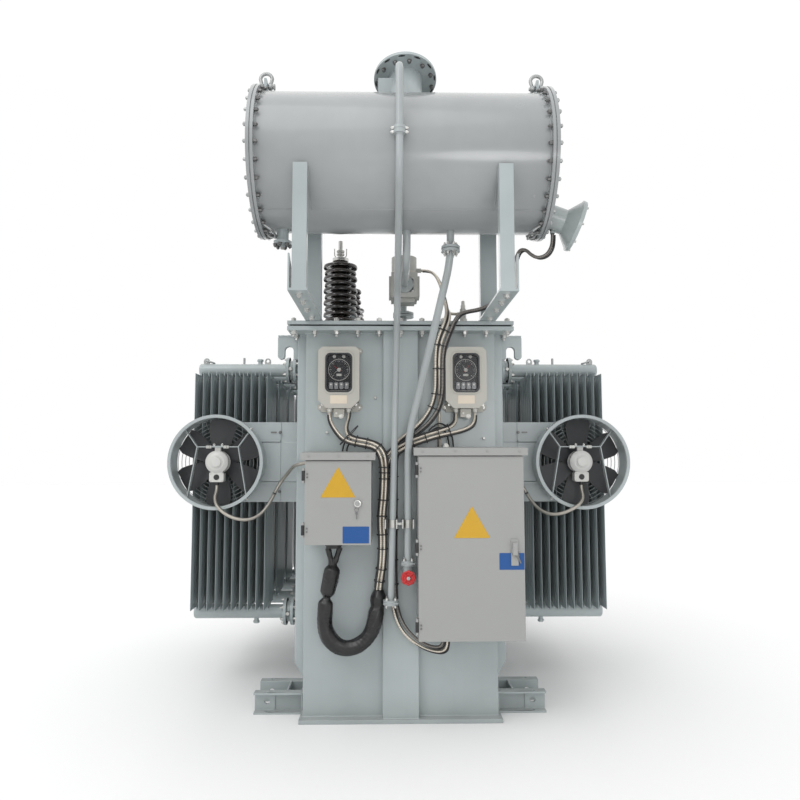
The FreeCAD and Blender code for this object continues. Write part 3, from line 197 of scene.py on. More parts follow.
def rubbery(name, colour, rough=0.55, grain=420.0, depth=0.0004):
    skin = Recipe(name)
    patch = skin.noise(18.0, 4.0)
    shade = skin.mix(skin.ramp(patch, ((0.45, 0.0), (0.8, 1.0))) * 0.6, colour, shaded(colour, 1.7, 0.01))
    gloss = patch * 0.25 + (rough - 0.12)
    return skin.finish(base_color=shade, roughness=gloss, normal=skin.bump(skin.noise(grain, 2.0), depth, 0.5))


def glazed(name, colour):
    # fired glaze over the insulators: deep gloss, faint pooling and a little dust on the sheds
    glaze = Recipe(name)
    pool = glaze.noise(14.0, 3.0)
    brown = rgb(0.045, 0.026, 0.018)
    shade = glaze.mix(glaze.ramp(pool, ((0.45, 0.0), (0.8, 1.0))) * 0.5, colour, brown)
    dust = glaze.ramp(glaze.facing("Z"), ((0.5, 0.0), (1.0, 1.0))) * (glaze.noise(26.0, 5.0) * 0.22)
    shade = glaze.mix(dust, shade, rgb(0.3, 0.29, 0.27))
    return glaze.finish(base_color=shade, roughness=pool * 0.1 + dust * 0.5 + 0.06,
                        normal=glaze.bump(glaze.noise(60.0, 2.0), 0.0006, 0.25), coat_weight=0.6, coat_roughness=0.04)


def plain(name, colour, rough=0.5, metallic=0.0, grain=200.0, depth=0.0002, vary=0.12):
    # small trim: one colour with a little drift and grain
    trim = Recipe(name)
    patch = trim.noise(30.0, 4.0)
    shade = trim.mix(patch, shaded(colour, 1 - 2 * vary), colour)
    return trim.finish(base_color=shade, roughness=patch * 0.2 + (rough - 0.1), metallic=metallic,
                       normal=trim.bump(trim.noise(grain, 2.0), depth, 0.4))


def windowGlass():
    pane = Recipe("windowGlass")
    film = pane.noise(9.0, 4.0)
    return pane.finish(base_color=rgb(0.02, 0.022, 0.024), roughness=film * 0.05 + 0.08, alpha=film * 0.06 + 0.12,
                       specular_ior_level=0.25)


def conduit(name, colour, rough):
    # wound metal conduit: fine rings along the cord, read from its own map
    hose = Recipe(name)
    along = hose.node("ShaderNodeTexCoord", output="UV")
    ring = hose.node("ShaderNodeTexWave", {"wave_type": "BANDS", "bands_direction": "X"},
                     {"Vector": along, "Scale": 60.0})
    patch = hose.noise(22.0, 5.0)
    shade = hose.mix(ring * 0.35 + patch * 0.2, colour, shaded(colour, 0.42))
    return hose.finish(base_color=shade, roughness=patch * 0.2 + rough, metallic=0.85,
                       normal=hose.bump(ring, 0.0012, 0.6))


finishes = {}


def keep(make, name, *colour, **settings):
    finishes[name] = make(name, rgb(*colour), **settings)


keep(enamel, "tankPaint", 0.37, 0.416, 0.421)
# the drum's paint is a darker copy of the tank's grey: a painted dark reflection standing in for the darker
# surroundings reflected in the glossy drum
keep(enamel, "drumPaint", 0.305, 0.32, 0.325, rough=0.24, peel=0.15, grime=0.3, coat=0.5)
# the fins' paint is a darker copy of the tank's grey: painted shade for the dark that falls between the closely set
# fins
keep(enamel, "finPaint", 0.29, 0.335, 0.342, rough=0.4, grime=0.5)
keep(enamel, "pipePaint", 0.35, 0.382, 0.386, rough=0.3, grime=0.2)
keep(enamel, "fanPaint", 0.385, 0.425, 0.43, rough=0.36, grime=0.25)
keep(enamel, "motorPaint", 0.56, 0.56, 0.54, rough=0.32, grime=0.2)
keep(powderCoat, "cabinetCoat", 0.32, 0.325, 0.316)
keep(powderCoat, "gaugeCoat", 0.43, 0.42, 0.378, rough=0.34)
keep(powderCoat, "relayCoat", 0.46, 0.46, 0.43, rough=0.4)
keep(powderCoat, "relayCap", 0.52, 0.49, 0.43, rough=0.35)
keep(enamel, "levelPaint", 0.36, 0.4, 0.4, rough=0.3, grime=0.2)
keep(bareMetal, "plated", 0.50, 0.50, 0.48, rough=0.34)
keep(bareMetal, "bright", 0.62, 0.62, 0.60, rough=0.24, tarnish=0.25)
keep(bareMetal, "galvanised", 0.40, 0.41, 0.41, rough=0.42, tarnish=0.5)
keep(bareMetal, "darkSteel", 0.2, 0.2, 0.2, rough=0.42)
keep(rubbery, "gasket", 0.018, 0.018, 0.018, rough=0.7)
keep(rubbery, "blackPlastic", 0.016, 0.016, 0.017, rough=0.42)
keep(plain, "bladePaint", 0.035, 0.037, 0.04, rough=0.45)
keep(plain, "guardWire", 0.3, 0.32, 0.32, rough=0.4, metallic=0.3)
keep(glazed, "glaze", 0.012, 0.009, 0.008)
keep(plain, "redPaint", 0.56, 0.02, 0.022, rough=0.3)
keep(plain, "whitePlastic", 0.72, 0.71, 0.67, rough=0.4)
finishes["glass"] = windowGlass()
keep(plain, "dialBlack", 0.025, 0.027, 0.03, rough=0.35)
keep(plain, "gaugeKnob", 0.36, 0.37, 0.38, rough=0.35, metallic=0.4)
keep(plain, "labelCream", 0.66, 0.58, 0.47, rough=0.45, vary=0.05)
keep(rubbery, "blackJacket", 0.012, 0.012, 0.013, rough=0.32, grain=260.0)
keep(plain, "plateYellow", 0.56, 0.32, 0.010, rough=0.4, vary=0.05)
keep(plain, "plateBlue", 0.0, 0.07, 0.27, rough=0.4, vary=0.06)
keep(conduit, "conduit", 0.72, 0.66, 0.57, rough=0.22)
keep(conduit, "greyConduit", 0.24, 0.225, 0.21, rough=0.3)
keep(conduit, "fanConduit", 0.5, 0.47, 0.42, rough=0.26)
keep(rubbery, "sleeveWrap", 0.008, 0.008, 0.009, rough=0.3, grain=70.0, depth=0.002)
print("finishes made:", len(finishes))

# the finish of each CAD piece, with the width in millimetres of the small rounded edge on what is cut or folded
nodeLooks = {
    "tankPaint": {"tank_walls": 4, "base_plate": 2, "end_stiffeners": 3, "side_stiffeners": 3.5,
        "lifting_hooks": 2.5, "tank_rim": 2, "cover_plate": 2.5, "skids": 2, "radiator_valves": 2,
        "conservator_supports": 1.8, "vent": 2, "conservator_fittings": 1.5, "cabinet_brackets": 1.5},
    "pipePaint": {"breather_pipe": 1.5, "drain_pipe": 1.5, "drain_valve": 1.5, "relay_pipes": 1.5},
    "drumPaint": {"conservator_shell": 0, "conservator_ends": 0},
    "finPaint": {"right_radiators": 0, "left_radiators": 0},
    "fanPaint": {"fan_brackets": 0.8, "fan_shrouds": 0, "fan_frames": 0, "fan_motors": 0},
    "guardWire": {"fan_guards": 0},
    "bladePaint": {"left_fan_rotor": 0, "right_fan_rotor": 0},
    "cabinetCoat": {"left_cabinet": 1.2, "right_cabinet": 1.2, "left_cabinet_door": 1.4, "right_cabinet_door": 1.4},
    "gaugeCoat": {"temperature_gauges": 3.5},
    "glass": {"gauge_windows": 0},
    "relayCoat": {"gas_relay": 3},
    "levelPaint": {"oil_level_gauge": 1.5},
    "plated": {"thermometer_pocket": 1.5, "pipe_clamps": 1},
    "gasket": {"cover_gasket": 1},
    "glaze": {"hv_bushings": 0, "lv_bushings": 0},
    "redPaint": {"valve_wheel": 0},
    "blackPlastic": {"cable_glands": 2},
}


def roundEdges(made, width, degrees):
    bevel = made.modifiers.new("edge", "BEVEL")
    bevel.width = width
    bevel.segments = 2
    bevel.limit_method = "ANGLE"
    bevel.angle_limit = radians(degrees)
    made.modifiers.new("smooth", "WEIGHTED_NORMAL").keep_sharp = True


for finish, widths in nodeLooks.items():
    for name, width in widths.items():
        nodes[name].data.materials.clear()
        nodes[name].data.materials.append(finishes[finish])
        if width:
            nodes[name].modifiers.new("weld", "WELD").merge_threshold = 0.00002
            roundEdges(nodes[name], width / 1000, 32)
print("CAD pieces finished")


# shapes: every piece is built where it stands, in metres

forward, upward, downward = (0, -1, 0), (0, 0, 1), (0, 0, -1)


class Shape:
    def __init__(self, *finishNames):
        self.verts = []
        self.faces = []
        self.finishOf = []
        self.finishNames = list(finishNames)
        self.current = 0

    def use(self, finishName):
        if finishName not in self.finishNames:
            self.finishNames.append(finishName)
        self.current = self.finishNames.index(finishName)
        return self

    def add(self, verts, faces):
        start = len(self.verts)
        self.verts += [tuple(vertex) for vertex in verts]
        self.faces += [tuple(start + index for index in face) for face in faces]
        self.finishOf += [self.current] * len(faces)
        return self

    def box(self, low, high):
        (x0, y0, z0), (x1, y1, z1) = low, high
        corners = [(x, y, z) for x in (x0, x1) for y in (y0, y1) for z in (z0, z1)]
        return self.add(corners, [(0, 1, 3, 2), (4, 6, 7, 5), (0, 4, 5, 1), (2, 3, 7, 6), (0, 2, 6, 4), (1, 5, 7, 3)])

    def plate(self, outline, axis, low, high):
        # an outline in the two other axes, pushed from low to high
        place = {"x": lambda u, v, w: (w, u, v), "y": lambda u, v, w: (u, w, v), "z": lambda u, v, w: (u, v, w)}[axis]
        count = len(outline)
        verts = [place(u, v, w) for w in (low, high) for u, v in outline]
        sides = [(i, (i + 1) % count, count + (i + 1) % count, count + i) for i in range(count)]
        return self.add(verts, sides + [tuple(range(count))[::-1], tuple(range(count, 2 * count))])

    def rings(self, rings, closed=True):
        # a skin over rings with the same number of points; a ring of one point is a pole
        verts = [point for ring in rings for point in ring]
        starts = [sum(len(ring) for ring in rings[:i]) for i in range(len(rings))]
        faces = []
        for i in range(len(rings) - 1):
            here, there = rings[i], rings[i + 1]
            a, b = starts[i], starts[i + 1]
            count = max(len(here), len(there))
            for j in range(count):
                k = (j + 1) % count
                if len(here) == 1:
                    faces.append((a, b + j, b + k))
                elif len(there) == 1:
                    faces.append((a + j, b, a + k))
                else:
                    faces.append((a + j, b + j, b + k, a + k))
        if closed and len(rings[0]) > 1:
            faces.append(tuple(range(len(rings[0]))))
        if closed and len(rings[-1]) > 1:
            faces.append(tuple(starts[-1] + j for j in range(len(rings[-1])))[::-1])
        return self.add(verts, faces)

    def turned(self, profile, start, way, sides=32):
        # pairs of (distance along, radius) round an axis: a band comes back to its first pair, a solid is closed
        frame = turnTo(way)
        start = Vector(start)
        (first, firstRadius), (last, lastRadius) = profile[0], profile[-1]
        band = (first, firstRadius) == (last, lastRadius)
        if not band:
            profile = (((first, 0),) if firstRadius else ()) + tuple(profile) + (((last, 0),) if lastRadius else ())
        rings = []
        for along, radius in profile:
            if radius < 1e-6:
                rings.append([start + frame @ Vector((0, 0, along))])
                continue
            ring = []
            for j in range(sides):
                angle = 2 * pi * j / sides
                ring.append(start + frame @ Vector((radius * cos(angle), radius * sin(angle), along)))
            rings.append(ring)
        return self.rings(rings, closed=not band)

    def tube(self, points, radius, sides=12, turn=None):
        # a round bar along points; radius is one number or one for each point
        points = [Vector(point) for point in points]
        radii = radius if isinstance(radius, (list, tuple)) else [radius] * len(points)
        way = (points[1] - points[0]).normalized()
        side = way.orthogonal().normalized()
        rings = []
        for i, point in enumerate(points):
            ahead = points[min(i + 1, len(points) - 1)] - points[max(i - 1, 0)]
            ahead.normalize()
            side = (side - ahead * side.dot(ahead)).normalized()
            across = ahead.cross(side)
            ring = []
            for j in range(sides):
                angle = 2 * pi * j / sides
                reach = radii[i] * (turn(i, angle) if turn else 1.0)
                ring.append(point + (side * cos(angle) + across * sin(angle)) * reach)
            rings.append(ring)
        return self.rings(rings)


def turnTo(way):
    return Vector(way).to_track_quat("Z", "Y").to_matrix()


def meshFrom(name, shape, sharp=35):
    mesh = bpy.data.meshes.new(name)
    mesh.from_pydata(shape.verts, [], shape.faces)
    for finishName in shape.finishNames:
        mesh.materials.append(finishes[finishName])
    mesh.polygons.foreach_set("material_index", shape.finishOf)
    work = bmesh.new()
    work.from_mesh(mesh)
    bmesh.ops.remove_doubles(work, verts=work.verts, dist=0.00001)
    bmesh.ops.recalc_face_normals(work, faces=work.faces)
    work.to_mesh(mesh)
    work.free()
    mesh.shade_smooth()
    mesh.set_sharp_from_angle(angle=radians(sharp))
    return mesh


def pieceFrom(name, mesh, slot, body=mainBody, edge=0.0, stands=()):
    made = bpy.data.objects.new(name, mesh)
    scene.collection.objects.link(made)
    if edge:
        roundEdges(made, edge, 40)
    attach(made, body)
    if stands:
        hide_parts(*stands)
    return made


def piece(name, shape, slot, body=mainBody, edge=0.0, stands=(), sharp=35):
    return pieceFrom(name, meshFrom(name, shape, sharp), slot, body, edge, stands)


def mm(*pairs):
    return tuple((along / 1000, radius / 1000) for along, radius in pairs)


def flat(outline, y):
    # an outline as a ring across y
    return [(u, y, v) for u, v in outline]


def oblong(x, z, halfX, halfZ):
    return [(x - halfX, z - halfZ), (x + halfX, z - halfZ), (x + halfX, z + halfZ), (x - halfX, z + halfZ)]


def rounded(width, height, radius, middle=(0.0, 0.0), steps=5):
    points = []
    for cornerX, cornerZ, first in ((1, 1, 0), (-1, 1, 90), (-1, -1, 180), (1, -1, 270)):
        for step in range(steps + 1):
            angle = radians(first + 90 * step / steps)
            points.append((middle[0] + cornerX * (width / 2 - radius) + radius * cos(angle),
                           middle[1] + cornerZ * (height / 2 - radius) + radius * sin(angle)))
    return points


# node trees: each takes named inputs, ends in Realize Instances and Set Material, and is turned into a mesh

class Tree:
    def __init__(self, name, inputs):
        self.group = bpy.data.node_groups.new(name, "GeometryNodeTree")
        self.sockets = {}
        for label, kind in {"Geometry": "Geometry", **inputs, "Finish": "Material"}.items():
            socket = self.group.interface.new_socket(label, in_out="INPUT", socket_type="NodeSocket" + kind)
            self.sockets[label] = socket.identifier
        self.group.interface.new_socket("Geometry", in_out="OUTPUT", socket_type="NodeSocketGeometry")
        self.source = self.group.nodes.new("NodeGroupInput")

    def given(self, label):
        return self.source.outputs[label]

    def node(self, kind, settings=None, inputs=None, output=0):
        made = self.group.nodes.new(kind)
        for name, value in (settings or {}).items():
            setattr(made, name, value)
        for name, value in (inputs or {}).items():
            if isinstance(value, bpy.types.NodeSocket):
                self.group.links.new(value, made.inputs[name])
            else:
                made.inputs[name].default_value = value
        return made.outputs[output]

    def plus(self, first, second):
        return self.node("ShaderNodeMath", {"operation": "ADD"}, {0: first, 1: second})

    def times(self, first, second):
        return self.node("ShaderNodeMath", {"operation": "MULTIPLY"}, {0: first, 1: second})

    def vector(self, x=0.0, y=0.0, z=0.0):
        return self.node("ShaderNodeCombineXYZ", {}, {0: x, 1: y, 2: z})

    def lifted(self, geometry, z):
        return self.node("GeometryNodeTransform", {}, {"Geometry": geometry, "Translation": self.vector(z=z)})

    def cylinder(self, sides, radius, depth):
        return self.node("GeometryNodeMeshCylinder", {}, {"Vertices": sides, "Radius": radius, "Depth": depth})

    def joined(self, *parts):
        join = self.group.nodes.new("GeometryNodeJoinGeometry")
        for part in parts:
            self.group.links.new(part, join.inputs[0])
        return join.outputs[0]

    def finish(self, geometry):
        real = self.node("GeometryNodeRealizeInstances", {}, {0: geometry})
        painted = self.node("GeometryNodeSetMaterial", {}, {"Geometry": real, "Material": self.given("Finish")})
        stop = self.group.nodes.new("NodeGroupOutput")
        self.group.links.new(painted, stop.inputs[0])

    def grow(self, name, base, finishName, **values):
        # run the tree on a base mesh with its inputs set, and keep the result as a plain mesh
        carrier = bpy.data.objects.new(name + "_carrier", base)
        scene.collection.objects.link(carrier)
        modifier = carrier.modifiers.new("grow", "NODES")
        modifier.node_group = self.group
        for label, value in values.items():
            modifier[self.sockets[label]] = value
        modifier[self.sockets["Finish"]] = finishes[finishName]
        graph = bpy.context.evaluated_depsgraph_get()
        mesh = bpy.data.meshes.new_from_object(carrier.evaluated_get(graph), depsgraph=graph)
        carrier.modifiers.remove(modifier)
        bpy.data.objects.remove(carrier)
        mesh.name = name
        if not mesh.materials:
            mesh.materials.append(finishes[finishName])
        mesh.shade_smooth()
        mesh.set_sharp_from_angle(angle=radians(35))
        return mesh


def fastenerTree():
    # a washer, a hexagon and a stud end on every point, standing along its facing
    tree = Tree("fasteners", {"Across": "Float", "Height": "Float", "Washer": "Float", "Stud": "Float", "Seed": "Int"})
    washerDepth = 0.0028
    washer = tree.lifted(tree.cylinder(14, tree.given("Washer"), washerDepth), washerDepth / 2)
    radius = tree.times(tree.given("Across"), 0.577)
    lift = tree.plus(tree.times(tree.given("Height"), 0.5), washerDepth)
    head = tree.lifted(tree.cylinder(6, radius, tree.given("Height")), lift)
    crown = tree.plus(tree.given("Height"), washerDepth)
    chamfer = tree.lifted(tree.node("GeometryNodeMeshCone", {}, {
        "Vertices": 12, "Radius Top": tree.times(radius, 0.62), "Radius Bottom": tree.times(radius, 0.84),
        "Depth": tree.times(radius, 0.14)}), crown)
    rise = tree.plus(crown, tree.times(tree.given("Stud"), 0.45))
    stud = tree.lifted(tree.cylinder(8, tree.times(radius, 0.5), tree.given("Stud")), rise)
    facing = tree.node("GeometryNodeInputNamedAttribute", {"data_type": "FLOAT_VECTOR"}, {"Name": "facing"})
    upright = tree.node("FunctionNodeAlignRotationToVector", {"axis": "Z"}, {"Vector": facing})
    turn = tree.node("FunctionNodeRandomValue", {}, {"Min": 0.0, "Max": 6.28, "Seed": tree.given("Seed")}, 1)
    # the random turn is about the fastener's own axis
    spin = tree.node("FunctionNodeAxisAngleToRotation", {}, {"Axis": (0, 0, 1), "Angle": turn})
    rotation = tree.node("FunctionNodeRotateRotation", {"rotation_space": "LOCAL"}, {0: upright, 1: spin})
    tree.finish(tree.node("GeometryNodeInstanceOnPoints", {}, {"Points": tree.given("Geometry"),
                                                              "Instance": tree.joined(washer, head, chamfer, stud),
                                                              "Rotation": rotation}))
    return tree


def beadTree():
    # a weld bead along a line, uneven along its length
    tree = Tree("beads", {"Width": "Float", "Step": "Float"})
    line = tree.node("GeometryNodeMeshToCurve", {}, {0: tree.given("Geometry")})
    line = tree.node("GeometryNodeResampleCurve", {"mode": "LENGTH"}, {"Curve": line, "Length": tree.given("Step")})
    wobble = tree.node("ShaderNodeTexNoise", {}, {"Scale": 60.0, "Detail": 1.0}, 1)
    centred = tree.node("ShaderNodeVectorMath", {"operation": "SUBTRACT"}, {0: wobble, 1: (0.5, 0.5, 0.5)})
    shift = tree.node("ShaderNodeVectorMath", {"operation": "SCALE"},
                      {0: centred, 3: tree.times(tree.given("Width"), 0.4)})
    line = tree.node("GeometryNodeSetPosition", {}, {"Geometry": line, "Offset": shift})
    uneven = tree.node("ShaderNodeTexNoise", {}, {"Scale": 140.0, "Detail": 0.0})
    size = tree.times(tree.given("Width"), tree.plus(tree.times(uneven, 0.4), 0.35))
    section = tree.node("GeometryNodeCurvePrimitiveCircle", {}, {"Resolution": 6, "Radius": 1.0})
    bead = tree.node("GeometryNodeCurveToMesh", {}, {"Curve": line, "Profile Curve": section, "Scale": size,
                                                    "Fill Caps": True})
    tree.finish(bead)
    return tree


fasteners = fastenerTree()
beads = beadTree()


def pointMesh(name, places):
    # vertices with the way that each faces
    mesh = bpy.data.meshes.new(name)
    mesh.from_pydata([place for place, facing in places], [], [])
    facings = mesh.attributes.new("facing", "FLOAT_VECTOR", "POINT")
    facings.data.foreach_set("vector", [part for place, facing in places for part in facing])
    return mesh


def fastened(name, places, across, height, washer, stud, finish="plated", slot="plated_steel", body=mainBody):
    mesh = fasteners.grow(name, pointMesh(name + "_places", places), finish, Across=across, Height=height,
                          Washer=washer, Stud=stud, Seed=len(places))
    return pieceFrom(name, mesh, slot, body)


def welded(name, lines, width=0.007, step=0.009, finish="tankPaint"):
    verts, edges = [], []
    for line in lines:
        edges += [(len(verts) + i, len(verts) + i + 1) for i in range(len(line) - 1)]
        verts += line
    mesh = bpy.data.meshes.new(name + "_lines")
    mesh.from_pydata(verts, edges, [])
    return pieceFrom(name, beads.grow(name, mesh, finish, Width=width, Step=step), "paint")


def circle(middle, way, radius, count, first=0.0):
    # places round a circle
    frame = turnTo(way)
    turns = [first + 2 * pi * i / count for i in range(count)]
    return [tuple(Vector(middle) + frame @ Vector((radius * cos(turn), radius * sin(turn), 0)))
            for turn in turns]


def loopOf(points):
    return list(points) + [points[0]]


def castTo(outline, start, way):
    # where a ray from inside meets an outline
    best = None
    for (ax, ay), (bx, by) in zip(outline, outline[1:] + outline[:1]):
        ex, ey = bx - ax, by - ay
        cross = way[0] * ey - way[1] * ex
        if abs(cross) < 1e-12:
            continue
        t = ((ax - start[0]) * ey - (ay - start[1]) * ex) / cross
        s = ((ax - start[0]) * way[1] - (ay - start[1]) * way[0]) / cross
        if t > 0 and -1e-6 <= s <= 1 + 1e-6 and (best is None or t < best):
            best = t
    return (start[0] + way[0] * best, start[1] + way[1] * best)


def drilled(shape, outline, hole, low, high):
    # a plate across y with one round hole; each point of the hole is joined to the outline straight outwards
    middle = (sum(u for u, v in hole) / len(hole), sum(v for u, v in hole) / len(hole))
    edge = [castTo(outline, middle, (u - middle[0], v - middle[1])) for u, v in hole]
    rings = [flat(hole, low), flat(edge, low), flat(edge, high), flat(hole, high), flat(hole, low)]
    return shape.rings(rings, closed=False)


print("helpers ready")

# cords on the CAD's own routes: stated length in metres, then points in millimetres with y from the front wall

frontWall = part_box("tank_walls")[0].y


def riser(dx, dy):
    # the four gauge leads run side by side down to the sleeve
    middle = [(-83, -101, 1225), (-86, -101, 1120), (-98, -100, 1010), (-90, -98, 890), (-95, -90, 775),
              (-108, -78, 700), (-112, -72, 655)]
    return [(x + dx, y + dy, z) for x, y, z in middle]


leadSize = {"diameter": 0.016, "stiffness": "medium"}
fanLeadSize = {"diameter": 0.018, "stiffness": "medium"}
leads = {
    "left_gauge_lead_outer": (1.04, [
        (-362, -58, 1536), (-362, -58, 1510), (-346, -66, 1474), (-320, -76, 1436), (-290, -84, 1404),
        (-248, -90, 1386), (-190, -98, 1376), (-126, -106, 1362), (-101, -110, 1318), (-93, -110, 1270)]
        + riser(-9, -9)),
    "left_gauge_lead_inner": (1.015, [
        (-266, -58, 1536), (-266, -58, 1510), (-275, -68, 1480), (-280, -78, 1450), (-266, -88, 1420),
        (-234, -94, 1404), (-186, -98, 1396), (-120, -106, 1378), (-84, -110, 1336), (-75, -110, 1280)]
        + riser(9, -9)),
    "right_gauge_lead_inner": (1.115, [
        (283, -58, 1536), (283, -58, 1508), (275, -68, 1480), (250, -78, 1462), (200, -86, 1446),
        (135, -92, 1426), (60, -92, 1402), (0, -88, 1372), (-52, -86, 1342), (-84, -90, 1302)]
        + riser(-9, 9)),
    "right_gauge_lead_outer": (1.18, [
        (379, -58, 1536), (379, -58, 1508), (366, -68, 1478), (332, -78, 1456), (270, -84, 1438),
        (200, -86, 1424), (132, -92, 1404), (58, -92, 1380), (0, -88, 1350), (-46, -86, 1318), (-68, -90, 1278)]
        + riser(9, 9)),
    "relay_lead": (2.39, [
        (114, 110, 2324), (148, 110, 2324), (184, 90, 2304), (206, 50, 2252), (220, 0, 2184), (231, -46, 2114),
        (236, -84, 2062), (228, -106, 2014), (206, -108, 1960), (184, -104, 1900), (176, -101, 1830),
        (176, -99, 1730), (174, -98, 1650), (156, -98, 1574), (118, -98, 1510), (70, -96, 1460),
        (20, -84, 1424), (-20, -68, 1390), (-44, -60, 1340), (-48, -58, 1270), (-48, -58, 1130),
        (-49, -58, 960), (-50, -57, 800), (-48, -57, 690), (-46, -58, 612), (-36, -72, 548), (-12, -92, 484),
        (32, -106, 430), (88, -116, 392), (144, -122, 370), (196, -125, 364), (226, -126, 386), (226, -126, 430)]),
    "thermometer_lead": (0.94, [
        (304, 44, 2072), (272, 44, 2072), (252, 24, 2074), (246, -12, 2078), (248, -52, 2070), (252, -86, 2044),
        (247, -106, 2006), (228, -108, 1956), (204, -104, 1894), (194, -101, 1824), (194, -98, 1756),
        (194, -88, 1684), (195, -77, 1610), (196, -61, 1540), (198, -44, 1460), (200, -30, 1390),
        (201, -26, 1340), (201, -26, 1300)]),
    "level_gauge_lead": (2.68, [
        (703, -440, 2354), (703, -440, 2322), (694, -444, 2282), (670, -446, 2248), (632, -438, 2238),
        (604, -424, 2258), (586, -410, 2284), (562, -392, 2293), (548, -364, 2273), (541, -330, 2228),
        (528, -290, 2168), (494, -246, 2108), (444, -214, 2066), (386, -176, 2050), (336, -134, 2050),
        (298, -112, 2042), (272, -108, 2006), (250, -108, 1950), (224, -104, 1888), (212, -101, 1820),
        (212, -99, 1724), (211, -98, 1640), (190, -98, 1556), (144, -98, 1490), (86, -96, 1440),
        (32, -82, 1406), (-4, -66, 1374), (-26, -60, 1326), (-30, -58, 1260), (-30, -58, 1120),
        (-31, -58, 960), (-32, -57, 810), (-30, -57, 700), (-28, -58, 622), (-20, -72, 562), (2, -92, 504),
        (42, -106, 452), (92, -116, 412), (138, -122, 392), (178, -125, 386), (204, -126, 400),
        (204, -126, 430)]),
    "left_fan_lead": (1.02, [
        (-996, 225, 1161), (-996, 225, 1134), (-1000, 192, 1094), (-978, 154, 1052), (-926, 138, 1010),
        (-862, 138, 984), (-798, 156, 980), (-744, 196, 1010), (-706, 236, 1070), (-682, 262, 1130),
        (-650, 264, 1184), (-610, 210, 1226), (-576, 120, 1254), (-550, 34, 1270), (-510, -16, 1280),
        (-474, -18, 1286), (-438, -18, 1290)]),
    "right_fan_lead": (0.93, [
        (996, 225, 1161), (996, 225, 1134), (998, 192, 1096), (970, 154, 1062), (918, 138, 1032),
        (858, 138, 1010), (800, 156, 1006), (750, 200, 1032), (714, 244, 1086), (684, 262, 1146),
        (646, 236, 1192), (612, 150, 1220), (586, 50, 1236), (562, -10, 1246), (528, -26, 1252), (488, -26, 1256)]),
    "cable_sleeve": (0.9, [
        (-333, -110, 866), (-333, -110, 806), (-346, -108, 724), (-364, -104, 642), (-376, -100, 560),
        (-378, -100, 486), (-350, -100, 418), (-292, -100, 378), (-226, -100, 380), (-168, -98, 420),
        (-134, -90, 486), (-118, -78, 560), (-112, -72, 612), (-112, -72, 654)]),
}


def placed(points):
    return [(x / 1000, frontWall + y / 1000, z / 1000) for x, y, z in points]


def spline(name, points, radius):
    curve = bpy.data.curves.new(name, "CURVE")
    curve.dimensions = "3D"
    line = curve.splines.new("NURBS")
    line.points.add(len(points) - 1)
    for point, place in zip(line.points, points):
        point.co = (*place, 1.0)
    line.order_u = 3
    line.use_endpoint_u = True
    line.resolution_u = 8
    curve.bevel_depth = radius
    curve.bevel_resolution = 3
    curve.use_fill_caps = True
    piece = bpy.data.objects.new(name, curve)
    scene.collection.objects.link(piece)
    return piece


def centreline(name, points):
    # the smooth line of a cord's own spline, as points
    guide = spline(name, points, 0.0)
    mesh = bpy.data.meshes.new_from_object(guide.evaluated_get(bpy.context.evaluated_depsgraph_get()))
    line = [tuple(vertex.co) for vertex in mesh.vertices]
    bpy.data.objects.remove(guide)
    return line


cordLines = {}


def layCord(name, route, length, size, finish, lead=None):
    # a cord on its route; one that follows a CAD lead takes its place
    points = placed(route)
    cordLines[lead or name] = centreline(name + "_guide", points)
    cord = spline(name, points, size["diameter"] / 2)
    cord.data.materials.append(finishes[finish])
    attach(cord, mainBody)
    if lead:
        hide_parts(lead)
    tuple(points[0])


leadFinish = {"level_gauge_lead": "greyConduit", "left_fan_lead": "fanConduit", "right_fan_lead": "fanConduit"}
for name, (length, route) in leads.items():
    if name != "cable_sleeve":
        layCord(name + "_cord", route, length, fanLeadSize if "fan" in name else leadSize,
                leadFinish.get(name, "conduit"), name)
# the sleeve is a wrapped bundle, made further on from its line
cordLines["cable_sleeve"] = centreline("cable_sleeve_guide", placed(leads["cable_sleeve"][1]))
print("cords laid:", len(leads))


# thin black cables that run beside the leads, each laid as a cord of its own
thinSize = {"diameter": 0.009, "stiffness": "medium"}
# these are cables of their own, and they also stand in for the dark reflected edges of the metal conduits: a painted
# dark reflection beside each lead
companions = {
    "left_gauge_cable": ("left_gauge_lead_outer", (-8, -5, -9)),
    "left_gauge_cable_inner": ("left_gauge_lead_inner", (9, -4, 9)),
    "right_gauge_cable": ("right_gauge_lead_outer", (8, -5, -9)),
    "right_gauge_cable_inner": ("right_gauge_lead_inner", (-9, -4, 9)),
    "relay_cable": ("relay_lead", (9, -5, -7)),
    "level_gauge_cable": ("level_gauge_lead", (10, -4, -8)),
}
for name, (beside, shift) in companions.items():
    length, route = leads[beside]
    layCord(name, [tuple(a + b for a, b in zip(point, shift)) for point in route], length, thinSize, "blackJacket")

# short cables that go down behind the hoods
hoodCables = {
    "left_hood_cable": (0.13, [(-266, -62, 1448), (-262, -58, 1426), (-280, -48, 1396), (-296, -42, 1366),
                               (-298, -40, 1330)]),
    "left_hood_cable_inner": (0.12, [(-258, -66, 1434), (-250, -56, 1412), (-262, -46, 1384), (-276, -40, 1356),
                                     (-276, -38, 1326)]),
    "right_hood_cable": (0.19, [(150, -96, 1440), (176, -88, 1462), (206, -72, 1462), (232, -58, 1436),
                                (246, -46, 1400), (248, -44, 1352)]),
    "right_hood_cable_outer": (0.24, [(140, -100, 1446), (176, -92, 1482), (216, -76, 1484), (252, -60, 1448),
                                      (268, -46, 1404), (270, -44, 1352)]),
}
for name, (length, route) in hoodCables.items():
    layCord(name, route, length, thinSize, "blackJacket")


